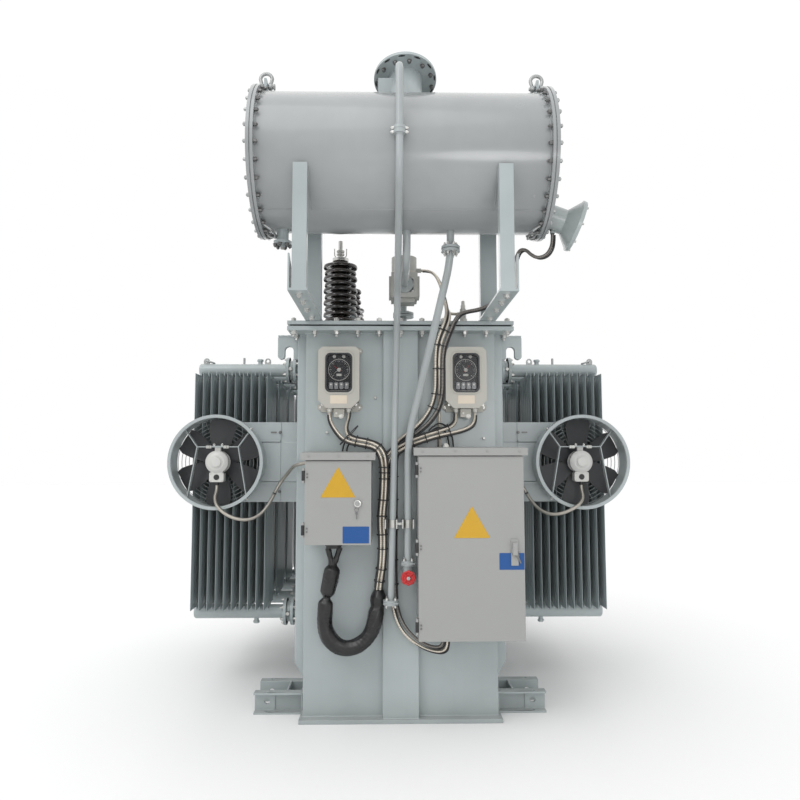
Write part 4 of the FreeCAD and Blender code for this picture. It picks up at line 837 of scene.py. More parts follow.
def crossing(name, axis, value):
    # where a cord's line first passes a height or a place across, and its way there
    line = cordLines[name]
    for one, two in zip(line, line[1:]):
        if (one[axis] - value) * (two[axis] - value) <= 0 and abs(one[axis] - two[axis]) > 1e-7:
            share = (value - one[axis]) / (two[axis] - one[axis])
            return Vector(one).lerp(Vector(two), share), (Vector(two) - Vector(one)).normalized()
    return None


tie = {"slack": 0.0002, "thick": 0.0015, "width": 0.0048, "sides": 24, "buckle": (0.0032, 0.0028, 0.0042)}


def tied(shape, names, axis, value, radius=0.008):
    # a band pulled round several cords, with its buckle at the front
    found = [crossing(name, axis, value) for name in names]
    found = [one for one in found if one]
    if not found:
        return
    way = sum((one[1] if one[1].dot(found[0][1]) > 0 else -one[1] for one in found), Vector()).normalized()
    middle = sum((one[0] for one in found), Vector()) / len(found)
    across = way.cross(Vector((0, 1, 0))).normalized()
    depth = across.cross(way).normalized()
    reachA = max(abs((one[0] - middle).dot(across)) for one in found) + radius
    reachD = max(abs((one[0] - middle).dot(depth)) for one in found) + radius
    slack, thick, half = tie["slack"], tie["thick"], tie["width"] / 2
    rings = []
    for k in range(tie["sides"] + 1):
        angle = 2 * pi * (k % tie["sides"]) / tie["sides"]
        ring = []
        for grow, along in ((slack, -half), (slack + thick, -half), (slack + thick, half), (slack, half)):
            ring.append(middle + across * (reachA + grow) * cos(angle)
                        + depth * (reachD + grow) * sin(angle) + way * along)
        rings.append(ring)
    shape.rings(rings, closed=False)
    front = middle - Vector((0, 1, 0)) * (reachD + 0.003)
    buckle = Vector(tie["buckle"])
    shape.box(tuple(front - buckle), tuple(front + buckle))


# where each bundle is tied: its cords, the axis the places are on, and the places
ties = Shape("blackPlastic")
leftPair = ["left_gauge_lead_outer", "left_gauge_lead_inner", "left_gauge_cable", "left_gauge_cable_inner"]
rightPair = ["right_gauge_lead_inner", "right_gauge_lead_outer", "right_gauge_cable", "right_gauge_cable_inner"]
coverPair = ["relay_lead", "level_gauge_lead"]
bundles = (
    (leftPair, 0, (-0.262, -0.225, -0.172, -0.118)),
    (rightPair, 0, (0.245, 0.19, 0.125, 0.06, -0.02)),
    (coverPair + ["relay_cable"], 2, (1.955, 1.88, 1.76, 1.63, 1.56)),
    (leftPair + rightPair, 2, (1.262, 1.235, 1.205, 1.10, 1.02, 0.93, 0.86, 0.76, 0.70)),
    (coverPair + ["relay_cable", "level_gauge_cable"], 2, (1.215, 1.10, 0.95, 0.80, 0.68)),
    (coverPair, 0, (-0.01, 0.06)),
)
for names, axis, spots in bundles:
    for spot in spots:
        tied(ties, names, axis, spot)
tied(ties, ["left_fan_lead"], 0, -0.688, 0.009)
tied(ties, ["right_fan_lead"], 0, 0.70, 0.009)
piece("cable_ties", ties, "gland", sharp=30)

# the sleeve: a wrapped bundle, pinched where it is bound
sleeve = {
    "radius": 0.0385, "split": 0.074, "wrap": 0.052, "pinches": ((0.078, 0.008), (0.245, 0.018), (0.82, 0.006)),
    "sides": 40, "step": 0.005,
}


def evenly(line, step):
    points, left = [Vector(line[0])], step
    for one, two in zip(line, line[1:]):
        one, two = Vector(one), Vector(two)
        run = (two - one).length
        while left <= run:
            points.append(one.lerp(two, left / run))
            left += step
        left -= run
    return points


step = sleeve["step"]
sleevePath = evenly(cordLines["cable_sleeve"], step)
wrapped = Shape("sleeveWrap")
radii = []
for i in range(len(sleevePath)):
    along = i * step
    reach = sleeve["radius"] + 0.0014 * sin(along * 17) + 0.0009 * sin(along * 43 + 1.0)
    for pinch, depth in sleeve["pinches"]:
        reach -= depth * exp(-((along - pinch) / 0.016) ** 2)
    toEnd = (len(sleevePath) - 1) * step - along
    reach *= min(1.0, 0.62 + toEnd / 0.09)
    if along < sleeve["split"] + 0.03:
        reach *= max(0.25, (along - sleeve["split"] + 0.035) / 0.065)
    radii.append(reach)


def foldsAt(i, angle):
    # the wrap's overlapping turns, long creases and wrinkles
    along = i * step
    turn = (along / sleeve["wrap"] + angle / (2 * pi)) % 1.0
    lap = 0.02 * (turn - 0.5) if turn < 0.9 else 0.02 * (0.4 - (turn - 0.9) * 9)
    crease = 0.028 * sin(3 * angle + along * 26) + 0.018 * sin(7 * angle - along * 41 + 0.7)
    wrinkle = 0.016 * sin(along * 310 + 2.2 * sin(angle * 2)) * (0.5 + 0.5 * sin(angle * 3 + along * 17))
    return 1.0 + lap + crease + wrinkle


start = int((sleeve["split"] - 0.02) / step)
wrapped.tube(sleevePath[start:], radii[start:], sleeve["sides"], turn=lambda i, angle: foldsAt(i + start, angle))
for side in (-1, 1):
    # two legs come out of the cabinet and join
    leg, girth = [], []
    for i in range(start + 9):
        along = i * step
        spread = 0.029 * max(0.28, 1 - along / 0.10)
        leg.append(sleevePath[i] + Vector((side * spread, 0.003 * side, 0)))
        girth.append(0.0138 + 0.0012 * sin(along * 120 + side))
    wrapped.tube(leg, girth, 18, turn=lambda i, angle: 1 + 0.05 * sin(4 * angle + i * 0.9 * side))
sleevePiece = piece("cable_sleeve_wrap", wrapped, "sleeve", stands=("cable_sleeve",), sharp=60)
tuple(sleevePath[0])
[tuple(point) for point in sleevePath]
print("ties and sleeve made")
# tank: bolts round the cover, welds, bushings

tank = {
    "boltSpacing": 0.112, "boltInset": 0.03, "across": 0.024, "seam": 0.009, "hookRows": (-1.02, 1.02),
    "stiffeners": (-1.02, -0.42, 0.0, 0.42, 1.02), "stiffenerHalf": 0.05, "stiffenerFoot": 0.18,
}
wallLow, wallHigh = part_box("tank_walls")
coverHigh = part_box("cover_plate")[1]
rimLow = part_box("tank_rim")[0]


def aroundCover(z, way):
    x, y = coverHigh.x - tank["boltInset"], coverHigh.y - tank["boltInset"]
    places = []
    alongX = round(2 * x / tank["boltSpacing"])
    alongY = round(2 * y / tank["boltSpacing"])
    for i in range(alongX + 1):
        places += [((-x + 2 * x * i / alongX, side * y, z), way) for side in (-1, 1)]
    for i in range(1, alongY):
        places += [((side * x, -y + 2 * y * i / alongY, z), way) for side in (-1, 1)]
    return places


fastened("cover_bolts", aroundCover(coverHigh.z, upward), tank["across"], 0.013, 0.017, 0.004)
fastened("cover_nuts", aroundCover(rimLow.z, downward), tank["across"], 0.014, 0.017, 0.013,
         finish="bright")

# studs welded to the front wall
studs = Shape("plated")
for x, z in ((-0.131, 1.62), (0.36, 1.655), (-0.38, 1.44), (0.43, 1.41)):
    studs.turned(mm((0, 7), (14, 7), (15.5, 5.5)), (x, wallLow.y, z), forward, 12)
piece("wall_studs", studs, "plated_steel")

# welds where the plates meet
lines = []
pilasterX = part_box("end_stiffeners")[1].x
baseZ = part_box("base_plate")[1].z
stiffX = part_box("side_stiffeners")[1].x
for face in (-1, 1):
    y = face * wallHigh.y
    for side in (-1, 1):
        lines.append([(side * pilasterX, y, baseZ), (side * pilasterX, y, rimLow.z)])
        lines.append([(side * wallHigh.x, y, baseZ), (side * pilasterX, y, baseZ)])
        lines.append([(side * wallHigh.x, y, rimLow.z), (side * pilasterX, y, rimLow.z)])
    front = y + face * 0.04
    lines.append([(-pilasterX, front, baseZ), (pilasterX, front, baseZ)])
    lines.append([(-pilasterX, front, rimLow.z), (pilasterX, front, rimLow.z)])
half, foot = tank["stiffenerHalf"], tank["stiffenerFoot"]
for side in (-1, 1):
    wallX = side * wallHigh.x
    for y in tank["stiffeners"]:
        for edgeY in (y - half, y + half):
            lines.append([(wallX, edgeY, foot), (wallX, edgeY, rimLow.z)])
            lines.append([(wallX, edgeY, rimLow.z), (side * stiffX, edgeY, rimLow.z)])
        lines.append([(wallX, y - half, foot), (wallX, y + half, foot)])
    for z in (baseZ, rimLow.z):
        lines.append([(wallX, wallLow.y, z), (wallX, wallHigh.y, z)])
    for y in tank["hookRows"]:
        for edgeY in (y - 0.015, y + 0.015):
            lines.append([(side * stiffX, edgeY, 1.838), (side * stiffX, edgeY, rimLow.z),
                          (side * (stiffX + 0.11), edgeY, rimLow.z)])
welded("tank_welds", lines, tank["seam"])


# bushings: glazed sheds on a clamped foot, with a terminal on top
bushings = {
    "hv": {"x": -0.34, "rows": (-0.78, -0.18, 0.42), "core": 0.048, "shed": 0.098, "height": 0.454, "sheds": 11,
           "stud": 0.012, "top": 0.097, "foot": 0.014, "cap": 0.030, "collar": 0.004},
    "lv": {"x": 0.30, "rows": (-0.08, 0.22, 0.52, 0.82), "core": 0.032, "shed": 0.056, "height": 0.13, "sheds": 4,
           "stud": 0.010, "top": 0.056, "foot": 0.014, "cap": 0.018, "collar": 0.002},
}


def shedProfile(one):
    # alternating wide and narrow sheds with drip lips, from the clamped foot to the cap
    core = one["core"]
    low, high = one["foot"] + 0.022, one["height"] - one["cap"] - one["collar"]
    pitch = (high - low) / one["sheds"]
    profile = [(0.0, 0.0), (0.0, core * 1.1), (low, core * 1.1)]
    for i in range(one["sheds"]):
        base = low + pitch * i
        reach = one["shed"] * (1.0 if i % 2 == 0 else 0.94)
        profile += [(base + pitch * 0.06, core * 1.04), (base + pitch * 0.16, core + (reach - core) * 0.35),
                    (base + pitch * 0.12, reach * 0.92), (base + pitch * 0.02, reach * 0.975),
                    (base + pitch * 0.10, reach * 0.997), (base + pitch * 0.30, reach),
                    (base + pitch * 0.50, reach * 0.975), (base + pitch * 0.76, core + (reach - core) * 0.45),
                    (base + pitch * 0.90, core * 1.08), (base + pitch * 0.99, core)]
    return profile + [(high, core * 0.98), (high + 0.004, core * 0.9), (high + 0.004, 0.0)]


for name, one in bushings.items():
    glaze = Shape("glaze")
    metal = Shape("plated")
    clampBolts = []
    for y in one["rows"]:
        foot = (one["x"], y, coverHigh.z)
        glaze.turned(shedProfile(one), foot, upward, 48)
        flange = one["core"] * 1.1
        outer = one["shed"] * 0.98
        clamp = one["foot"]
        metal.use("tankPaint").turned(((0, flange - 0.002), (0, outer), (clamp, outer), (clamp + 0.003, outer - 0.004),
                                       (clamp + 0.003, flange + 0.01), (clamp + 0.02, flange + 0.004),
                                       (clamp + 0.02, flange - 0.002), (0, flange - 0.002)), foot, upward, 40)
        top = one["height"]
        cap = top - one["cap"]
        reach = one["core"] * 0.98
        metal.use("bright").turned(((cap, reach * 0.8), (cap + 0.004, reach), (top - 0.008, reach),
                                    (top, reach * 0.55)), foot, upward, 32)
        stud = one["stud"]
        metal.use("plated").turned(((top - 0.002, stud), (top + one["top"] - 0.002, stud),
                                    (top + one["top"], stud - 0.002)), foot, upward, 20)
        for lift in (0.012, 0.03):
            six = [(one["x"] + stud * 1.9 * cos(pi * k / 3), y + stud * 1.9 * sin(pi * k / 3))
                   for k in range(6)]
            low = coverHigh.z + top + lift
            metal.plate(six, "z", low, low + 0.011)
        if name == "hv":
            # a pair of thin arcing rods beside the terminal
            for side in (-1, 1):
                metal.tube([(one["x"] + side * 0.02, y, coverHigh.z + top - 0.01),
                            (one["x"] + side * 0.034, y, coverHigh.z + top + 0.012),
                            (one["x"] + side * 0.035, y, coverHigh.z + top + 0.052)], 0.0032, 8)
        clampBolts += [(place, upward) for place in
                       circle((one["x"], y, coverHigh.z + one["foot"] + 0.003), upward, outer - 0.014, 6, 0.3)]
    piece(name + "_sheds", glaze, "insulator", stands=(name + "_bushings",), sharp=50)
    piece(name + "_terminals", metal, "plated_steel", edge=0.0008)
    fastened(name + "_clamp_bolts", clampBolts, 0.013, 0.008, 0.0085, 0.004)

# welds where the skids meet the base
skid = {"rows": ((-1.045, -0.794), (0.794, 1.045)), "root": 0.5065, "low": 0.0205, "high": 0.106, "web": 0.584,
        "flange": 0.056}
skidWelds = []
for side in (-1, 1):
    for low, high in skid["rows"]:
        for y in (low, high):
            skidWelds.append([(side * skid["root"], y, skid["low"]), (side * skid["root"], y, skid["high"])])
        x, z, flange = side * skid["web"], skid["high"] + 0.0002, skid["flange"]
        skidWelds.append([(x, low + flange, z), (x, high - flange, z)])
welded("skid_welds", skidWelds, 0.007)


# lifting hooks: flame-cut plates with a round toe and a round-topped slot
hook = {"inner": 0.5425, "outer": 0.6545, "top": 1.960, "low": 1.835, "slot": (0.5705, 0.6165), "crown": 1.881,
        "thickness": 0.030}


def hookOutline(side):
    left, right = hook["slot"]
    middle, radius = (left + right) / 2, (right - left) / 2
    toe = (hook["outer"] - right) / 2
    toeX, toeZ = right + toe, hook["low"] + toe
    points = [(hook["inner"], hook["top"]), (hook["outer"] - 0.010, hook["top"]),
              (hook["outer"] - 0.003, hook["top"] - 0.003), (hook["outer"], hook["top"] - 0.010)]
    points += [(toeX + toe * cos(radians(a)), toeZ - toe * sin(radians(a))) for a in
               range(0, 181, 15)]
    points += [(middle + radius * cos(radians(a)), hook["crown"] + radius * sin(radians(a)))
               for a in range(0, 181, 15)]
    points += [(left, hook["low"] + 0.006), (left - 0.006, hook["low"]), (hook["inner"], hook["low"])]
    return [(side * u, v) for u, v in points]


hooks = Shape("tankPaint")
for side in (-1, 1):
    for y in tank["hookRows"]:
        hooks.plate(hookOutline(side), "y", y - hook["thickness"] / 2, y + hook["thickness"] / 2)
piece("lifting_hook_plates", hooks, "paint", edge=0.002, stands=("lifting_hooks",))

# bolts up into the conservator's arms, four on each
arm = {"aside": 0.446, "under": 2.010, "rows": (-1.80, -1.66, -1.50, -1.30)}
armBolts = [((side * arm["aside"], y, arm["under"]), downward) for side in (-1, 1) for y in arm["rows"]]
fastened("arm_bolts", armBolts, 0.020, 0.011, 0.015, 0.005, finish="bright")
print("tank finished")


# radiators: pressed panels with flutes, headers and lifting eyes

radiator = {
    "panels": 10, "pitch": 0.045, "first": 0.753, "rows": (-0.63, -0.21, 0.21, 0.63), "width": 0.310,
    "bottom": 0.465, "top": 1.789, "flutes": 5, "seam": 0.0026, "swell": 0.0056, "margin": 0.011,
    "header": 0.038, "lowHeader": 0.431, "highHeader": 1.825, "inner": 0.660, "outer": 1.176, "eye": 0.034,
    "flanges": (0.603, 0.660), "boltCircle": 0.064, "valve": 0.6315, "seams": (0.6195, 0.6425),
}
# places along a header, in fin pitches from the first fin
spots = {"plug": 1.5, "eyes": (0.5, 8.5), "vent": 3.6}


def panelShape(one):
    # one pressed panel: flutes along its height, pinched flat at both ends, seam all round
    half = one["width"] / 2
    across = [-half, -half + one["margin"]]
    fluteWidth = (one["width"] - 2 * one["margin"]) / one["flutes"]
    swell = [0.0, 0.0]
    for i in range(one["flutes"]):
        start = -half + one["margin"] + i * fluteWidth
        for share, lift in ((0.10, 0.62), (0.26, 0.95), (0.5, 1.0), (0.74, 0.95), (0.9, 0.62), (1.0, 0.0)):
            across.append(start + share * fluteWidth)
            swell.append(lift if not (share == 1.0 and i < one["flutes"] - 1) else 0.22)
    across.append(half)
    swell.append(0.0)
    levels = ((0.0, 0.0), (0.012, 0.0), (0.034, 0.7), (0.052, 1.0))
    heights = [(one["bottom"] + rise, share) for rise, share in levels]
    heights += [(one["top"] - rise, share) for rise, share in reversed(levels)]
    shape = Shape("finPaint")
    rings = []
    for z, share in heights:
        right = [(one["seam"] / 2 + one["swell"] * lift * share, y, z) for y, lift in zip(across, swell)]
        left = [(-x, y, z) for x, y, z in reversed(right)]
        rings.append(right + left)
    return shape.rings(rings)


def radiatorTree():
    # panels in a row for each radiator, and radiators along the tank
    tree = Tree("radiatorBank", {"Panels": "Int", "Pitch": "Float", "Rows": "Int", "Row Pitch": "Float",
                                 "First": "Vector"})
    columns = tree.node("GeometryNodeMeshLine", {}, {"Count": tree.given("Panels"),
                                                    "Offset": tree.vector(x=tree.given("Pitch"))})
    rows = tree.node("GeometryNodeMeshLine", {}, {"Count": tree.given("Rows"), "Start Location": tree.given("First"),
                                                 "Offset": tree.vector(y=tree.given("Row Pitch"))})
    row = tree.node("GeometryNodeInstanceOnPoints", {}, {"Points": columns, "Instance": tree.given("Geometry")})
    tree.finish(tree.node("GeometryNodeInstanceOnPoints", {}, {"Points": rows, "Instance": row}))
    return tree


def along(side, pitches):
    return side * (radiator["first"] + radiator["pitch"] * pitches)


panels = radiatorTree()
ends = ((radiator["lowHeader"], -1), (radiator["highHeader"], 1))
reach = radiator["header"]
panelMesh = meshFrom("panel", panelShape(radiator))
rowPitch = radiator["rows"][1] - radiator["rows"][0]
headerBolts = []
for side, name in ((-1, "left"), (1, "right")):
    bank = panels.grow(name + "_panels", panelMesh.copy(), "finPaint", Panels=radiator["panels"],
                       Pitch=side * radiator["pitch"], Rows=len(radiator["rows"]), **{"Row Pitch": rowPitch},
                       First=(side * radiator["first"], radiator["rows"][0], 0.0))
    pieceFrom(name + "_panels", bank, "paint", stands=(name + "_radiators",))
    headers = Shape("tankPaint")
    for y in radiator["rows"]:
        for z, way in ends:
            length = radiator["outer"] - radiator["inner"]
            headers.turned(((0, reach + 0.004), (0.006, reach + 0.004), (0.009, reach), (length - 0.012, reach),
                            (length - 0.004, reach * 0.86), (length, reach * 0.5)), (side * radiator["inner"], y,
                                                                                     z), (side, 0, 0), 32)
            headers.turned(mm((0, 14), (18, 14), (18, 19), (30, 19), (32, 15)),
                           (along(side, spots["plug"]), y, z + way * (reach - 0.004)), (0, 0, way), 6)
        for i in range(radiator["panels"]):
            x = along(side, i)
            neck = [(x + u, y + v) for u, v in ((-0.0062, -0.03), (-0.002, -0.036), (0.002, -0.036), (0.0062, -0.03),
                                                (0.0062, 0.03), (0.002, 0.036), (-0.002, 0.036), (-0.0062, 0.03))]
            headers.plate(neck, "z", radiator["lowHeader"], radiator["bottom"] + 0.02)
            headers.plate(neck, "z", radiator["top"] - 0.02, radiator["highHeader"])
        # lifting eyes, the outer one with a small shackle leaning over, and a vent pin between them
        for index in spots["eyes"]:
            x = along(side, index)
            top = radiator["highHeader"] + reach + radiator["eye"]
            foot, pin = radiator["highHeader"] + 0.03, top - 0.017
            eye = [(x - 0.018, foot), (x + 0.018, foot), (x + 0.018, top - 0.014), (x + 0.012, top - 0.003), (x, top),
                   (x - 0.012, top - 0.003), (x - 0.018, top - 0.014)]
            hole = [(x + 0.009 * cos(radians(a)), pin + 0.009 * sin(radians(a)))
                    for a in range(0, 360, 30)]
            headers.use("galvanised")
            drilled(headers, eye, hole, y - 0.004, y + 0.004)
            if index > 1:
                headers.tube([(x, y - 0.020, pin), (x, y + 0.020, pin)], 0.0062, 10)
                headers.tube([(x - side * u, y + v, pin - w) for u, v, w in (
                    (0, -0.015, 0), (0.018, -0.017, 0.004), (0.036, -0.013, 0.010), (0.046, 0, 0.013),
                    (0.036, 0.013, 0.010), (0.018, 0.017, 0.004), (0, 0.015, 0))], 0.005, 10)
            else:
                headers.turned(mm((0, 6.5), (36, 6.5), (38, 5)),
                               (along(side, spots["vent"]), y, radiator["highHeader"] + 0.036), upward, 12)
            headers.use("tankPaint")
        for z, way in ends:
            for x, facing in zip(radiator["flanges"], (-side, side)):
                headerBolts += [(place, (facing, 0, 0)) for place in
                                circle((side * x, y, z), (side, 0, 0), radiator["boltCircle"], 6, pi / 6)]
    piece(name + "_headers", headers, "paint", edge=0.0012)
fastened("radiator_bolts", headerBolts, 0.016, 0.009, 0.0095, 0.006)

# valve spindles and the seam between each pair of flanges
valves = Shape("plated")
for side in (-1, 1):
    for y in radiator["rows"]:
        for z, way in ends:
            valves.use("gasket")
            for seam in radiator["seams"]:
                valves.turned(mm((0, 40), (0, 74.5), (2, 74.5), (2, 40), (0, 40)), (side * seam, y, z), (side, 0, 0),
                              32)
            valves.use("plated")
            valves.turned(mm((0, 11), (22, 11), (24, 9)), (side * radiator["valve"], y - 0.055, z), forward, 16)
piece("valve_spindles", valves, "plated_steel", edge=0.0008)
print("radiators finished")


# cooling fans: rolled shroud, motor with ribs, wire guard, blades

fan = {
    "aside": 0.996, "height": 1.287, "radius": 0.250, "wall": 0.004, "front": -0.957, "rear": -0.806,
    "motorRadius": 0.062, "motorFront": -0.937, "motorRear": -0.849, "hub": 0.045, "tip": 0.235, "blades": 6,
    "guardWire": 0.0036, "guardRings": 11, "guardFirst": 0.036, "guardStep": 0.0205, "hubFront": -0.843,
    "hubDepth": 0.027,
}


def guardTree():
    # rings of wire, one inside the next
    tree = Tree("fanGuard", {"Rings": "Int", "First": "Float", "Step": "Float", "Wire": "Float", "Middle": "Vector"})
    spots = tree.node("GeometryNodeMeshLine", {}, {"Count": tree.given("Rings"),
                                                   "Start Location": tree.given("Middle"), "Offset": (0, 0, 0)})
    number = tree.node("GeometryNodeInputIndex")
    radius = tree.plus(tree.given("First"), tree.times(number, tree.given("Step")))
    ring = tree.node("GeometryNodeCurvePrimitiveCircle", {}, {"Resolution": 56, "Radius": 1.0})
    rings = tree.node("GeometryNodeInstanceOnPoints", {}, {"Points": spots, "Instance": ring,
                                                          "Rotation": (pi / 2, 0, 0), "Scale": radius})
    wires = tree.node("GeometryNodeRealizeInstances", {}, {0: rings})
    section = tree.node("GeometryNodeCurvePrimitiveCircle", {}, {"Resolution": 6, "Radius": tree.given("Wire")})
    wire = tree.node("GeometryNodeCurveToMesh", {}, {"Curve": wires, "Profile Curve": section})
    tree.finish(tree.joined(wire, tree.given("Geometry")))
    return tree


def blade(shape, middle, turn, one):
    # one pitched blade with a curved section that narrows and flattens towards its tip
    rings = []
    for i in range(8):
        share = i / 7
        reach = one["hub"] - 0.004 + share * (one["tip"] - one["hub"] + 0.004)
        chord = 0.060 + 0.085 * sin(pi * min(1.0, share * 0.52 + 0.02))
        pitch = radians(15 - 7 * share)
        chord *= 0.86 if i == 7 else 1.0
        thick = 0.0017
        upper, lower = [], []
        for j in range(7):
            t = j / 6 * 2 - 1
            camber = 0.004 * (1 - t * t)
            along = t * chord / 2 + 0.010 * share
            half = thick * (1 - 0.7 * t * t)
            for rise, side in ((camber + half, upper), (camber - half, lower)):
                u = along * cos(pitch) - rise * sin(pitch)
                v = along * sin(pitch) + rise * cos(pitch)
                x = u * cos(turn) + reach * sin(turn)
                z = -u * sin(turn) + reach * cos(turn)
                side.append((middle[0] + x, middle[1] + max(-0.0125, min(0.0125, v)), middle[2] + z))
        rings.append(upper + lower[::-1])
    shape.rings(rings)


guards = guardTree()
frameBolts = []
for side, label in ((-1, "left"), (1, "right")):
    x, z = side * fan["aside"], fan["height"]
    shroud = Shape("fanPaint")
    r, w = fan["radius"], fan["wall"]
    depth = fan["rear"] - fan["front"]
    shroud.turned(((0.0, r + 0.0065), (-0.0004, r + 0.002), (0.0, r - 0.009), (0.003, r - 0.0115), (0.007, r - 0.011),
                   (0.022, r - w - 0.002), (0.04, r - w), (depth * 0.5, r - w),
                   (depth, r - w), (depth, r), (depth * 0.5, r), (0.007, r), (0.004, r + 0.003), (0.0035, r + 0.0065),
                   (0.0, r + 0.0065)), (x, fan["front"], z), (0, 1, 0), 128)
    # two strap welds round the barrel
    for at in (0.03, depth - 0.022):
        shroud.turned(((at, r - 0.001), (at + 0.001, r + 0.0012), (at + 0.004, r + 0.0012), (at + 0.005, r - 0.001),
                       (at, r - 0.001)), (x, fan["front"], z), (0, 1, 0), 96)
    piece(label + "_shroud", shroud, "fan_paint", stands=("fan_shrouds",) if side < 0 else (), sharp=40)

    motor = Shape("motorPaint")
    front, rear = fan["motorFront"], fan["motorRear"]
    m = fan["motorRadius"]
    motor.turned(((0, m * 0.28), (0.0015, m * 0.30), (0.002, m * 0.34), (0.0, m * 0.40), (0.0005, m * 0.52),
                  (0.003, m * 0.56), (0.003, m * 0.64), (0.006, m * 0.72), (0.0125, m * 0.90), (0.016, m * 0.955),
                  (0.0185, m * 0.955), (0.0185, m), (0.022, m), (0.022, m * 0.95), (rear - front - 0.016, m * 0.95),
                  (rear - front - 0.016, m), (rear - front - 0.012, m), (rear - front - 0.006, m * 0.93),
                  (rear - front, m * 0.86)), (x, front, z), (0, 1, 0), 64)
    motor.turned(((0, m * 0.3), (0.001, m * 0.4), (0.003, m * 0.44), (0.009, m * 0.45)), (x, front - 0.008, z),
                 (0, 1, 0), 32)
    for k in range(18):
        # cooling ribs along the motor's body
        angle = 2 * pi * (k + 0.5) / 18
        if abs(cos(angle)) < 0.28:
            continue
        cx, cz = cos(angle), sin(angle)
        px, pz = -cz * 0.0014, cx * 0.0014
        foot, tip = m * 0.93, m * 1.0
        rib = [(x + cx * foot + px, z + cz * foot + pz), (x + cx * tip + px * 0.6, z + cz * tip + pz * 0.6),
               (x + cx * tip - px * 0.6, z + cz * tip - pz * 0.6), (x + cx * foot - px, z + cz * foot - pz)]
        motor.plate(rib, "y", front + 0.022, rear - 0.016)
    footY = front + 0.0293
    motor.plate(oblong(x, z + 0.06525, 0.016, 0.01525), "y", footY + 0.006, footY + 0.026)
    for dx in (-0.047, 0.047):
        motor.use("plated").plate(rounded(0.030, 0.016, 0.003, (x + dx, z + 0.082)), "y", footY - 0.004,
                                  footY - 0.001)
        motor.turned(mm((0, 6.2), (5, 6.2), (6, 5.2)), (x + dx, footY - 0.004, z + 0.082), forward, 6)
    motor.use("motorPaint")
    low = z - m - 0.046
    boxY = front + 0.016
    motor.plate(rounded(0.074, 0.05, 0.008, (x, low + 0.025)), "y", boxY + 0.004, boxY + 0.058)
    motor.plate(rounded(0.078, 0.053, 0.009, (x, low + 0.0265)), "y", boxY, boxY + 0.005)
    motor.plate(rounded(0.06, 0.03, 0.006, (x, low + 0.06)), "y", boxY + 0.01, boxY + 0.052)
    for dx in (-0.031, 0.031):
        for dz in (0.007, 0.046):
            motor.use("plated").turned(mm((0, 3.4), (2, 3)), (x + dx, boxY, low + dz), forward, 10)
    motor.use("blackPlastic")
    glandY = front + 0.032
    motor.turned(mm((0, 9.5), (-1, 12.5), (7, 12.5), (8, 11.5), (10, 11.5), (15, 10.5), (18, 9.5)), (x, glandY, low),
                 downward, 12)
    # the knock-out in the terminal box's front
    motor.turned(mm((0, 15.5), (3, 14.5)), (x, boxY, low + 0.026), forward, 20)
    piece(label + "_motor", motor, "fan_paint", edge=0.0006, stands=("fan_motors",) if side < 0 else ())

    clips = Shape("fanPaint").plate(oblong(x, z + 0.087, 0.036, 0.0015), "y", footY - 0.001, footY + 0.031)
    piece(label + "_frame_clips", clips, "fan_paint", edge=0.0006)
    frameBolts += [((x + dx, footY + 0.015, z + 0.0885), upward) for dx in (-0.022, 0.022)]
    for sx in (-1, 1):
        for across, up in ((0.74, 0.74), (0.66, -0.82)):
            reach = hypot(across, up)
            place = (x + sx * across / reach * (r + 0.0005), footY + 0.015, z + up / reach * (r + 0.0005))
            frameBolts.append((place, (sx * across, 0, up)))

    # the guard: rings on eight spokes, with its rim hooked on the shroud's rear edge
    spokes = Shape("guardWire")
    guardY = fan["rear"] - 0.0022
    for k in range(8):
        angle = 2 * pi * (k + 0.5) / 8
        cx, cz = cos(angle), sin(angle)
        spokes.tube([(x + cx * 0.03, guardY + 0.001, z + cz * 0.03), (x + cx * 0.246, guardY + 0.001, z + cz * 0.246)],
                    0.0019, 6)
    spokes.turned(mm((-1, 34), (0.5, 34)), (x, guardY, z), (0, 1, 0), 24)
    grown = guards.grow(label + "_guard", meshFrom(label + "_spokes", spokes), "guardWire", Rings=fan["guardRings"],
                        First=fan["guardFirst"], Step=fan["guardStep"], Wire=fan["guardWire"] / 2,
                        Middle=(x, guardY - 0.0008, z))
    pieceFrom(label + "_guard", grown, "guard_wire", stands=("fan_guards",) if side < 0 else ())

    rotor = Shape("bladePaint")
    hubY = fan["hubFront"]
    middle = (x, hubY + fan["hubDepth"] / 2, z)
    rotor.turned(mm((0, 12), (-1, 30), (2, 40), (7, 45), (27, 45)), (x, hubY, z), (0, 1, 0), 48)
    rotor.turned(mm((0, 10), (31, 10)), (x, hubY - 0.031, z), (0, 1, 0), 24)
    for k in range(fan["blades"]):
        blade(rotor, middle, 2 * pi * k / fan["blades"], fan)
    rotor.use("plated")
    for k in range(6):
        angle = 2 * pi * (k + 0.5) / 6
        rotor.turned(mm((0, 3.5), (2.5, 3)), (x + 0.034 * cos(angle), hubY + 0.0008, z + 0.034 * sin(angle)), forward,
                     8)
    name = label + "_fan_rotor"
    piece(label + "_blades", rotor, "blade", body=name, stands=(name,))
fastened("fan_bolts", frameBolts, 0.013, 0.007, 0.0085, 0.004, finish="bright")

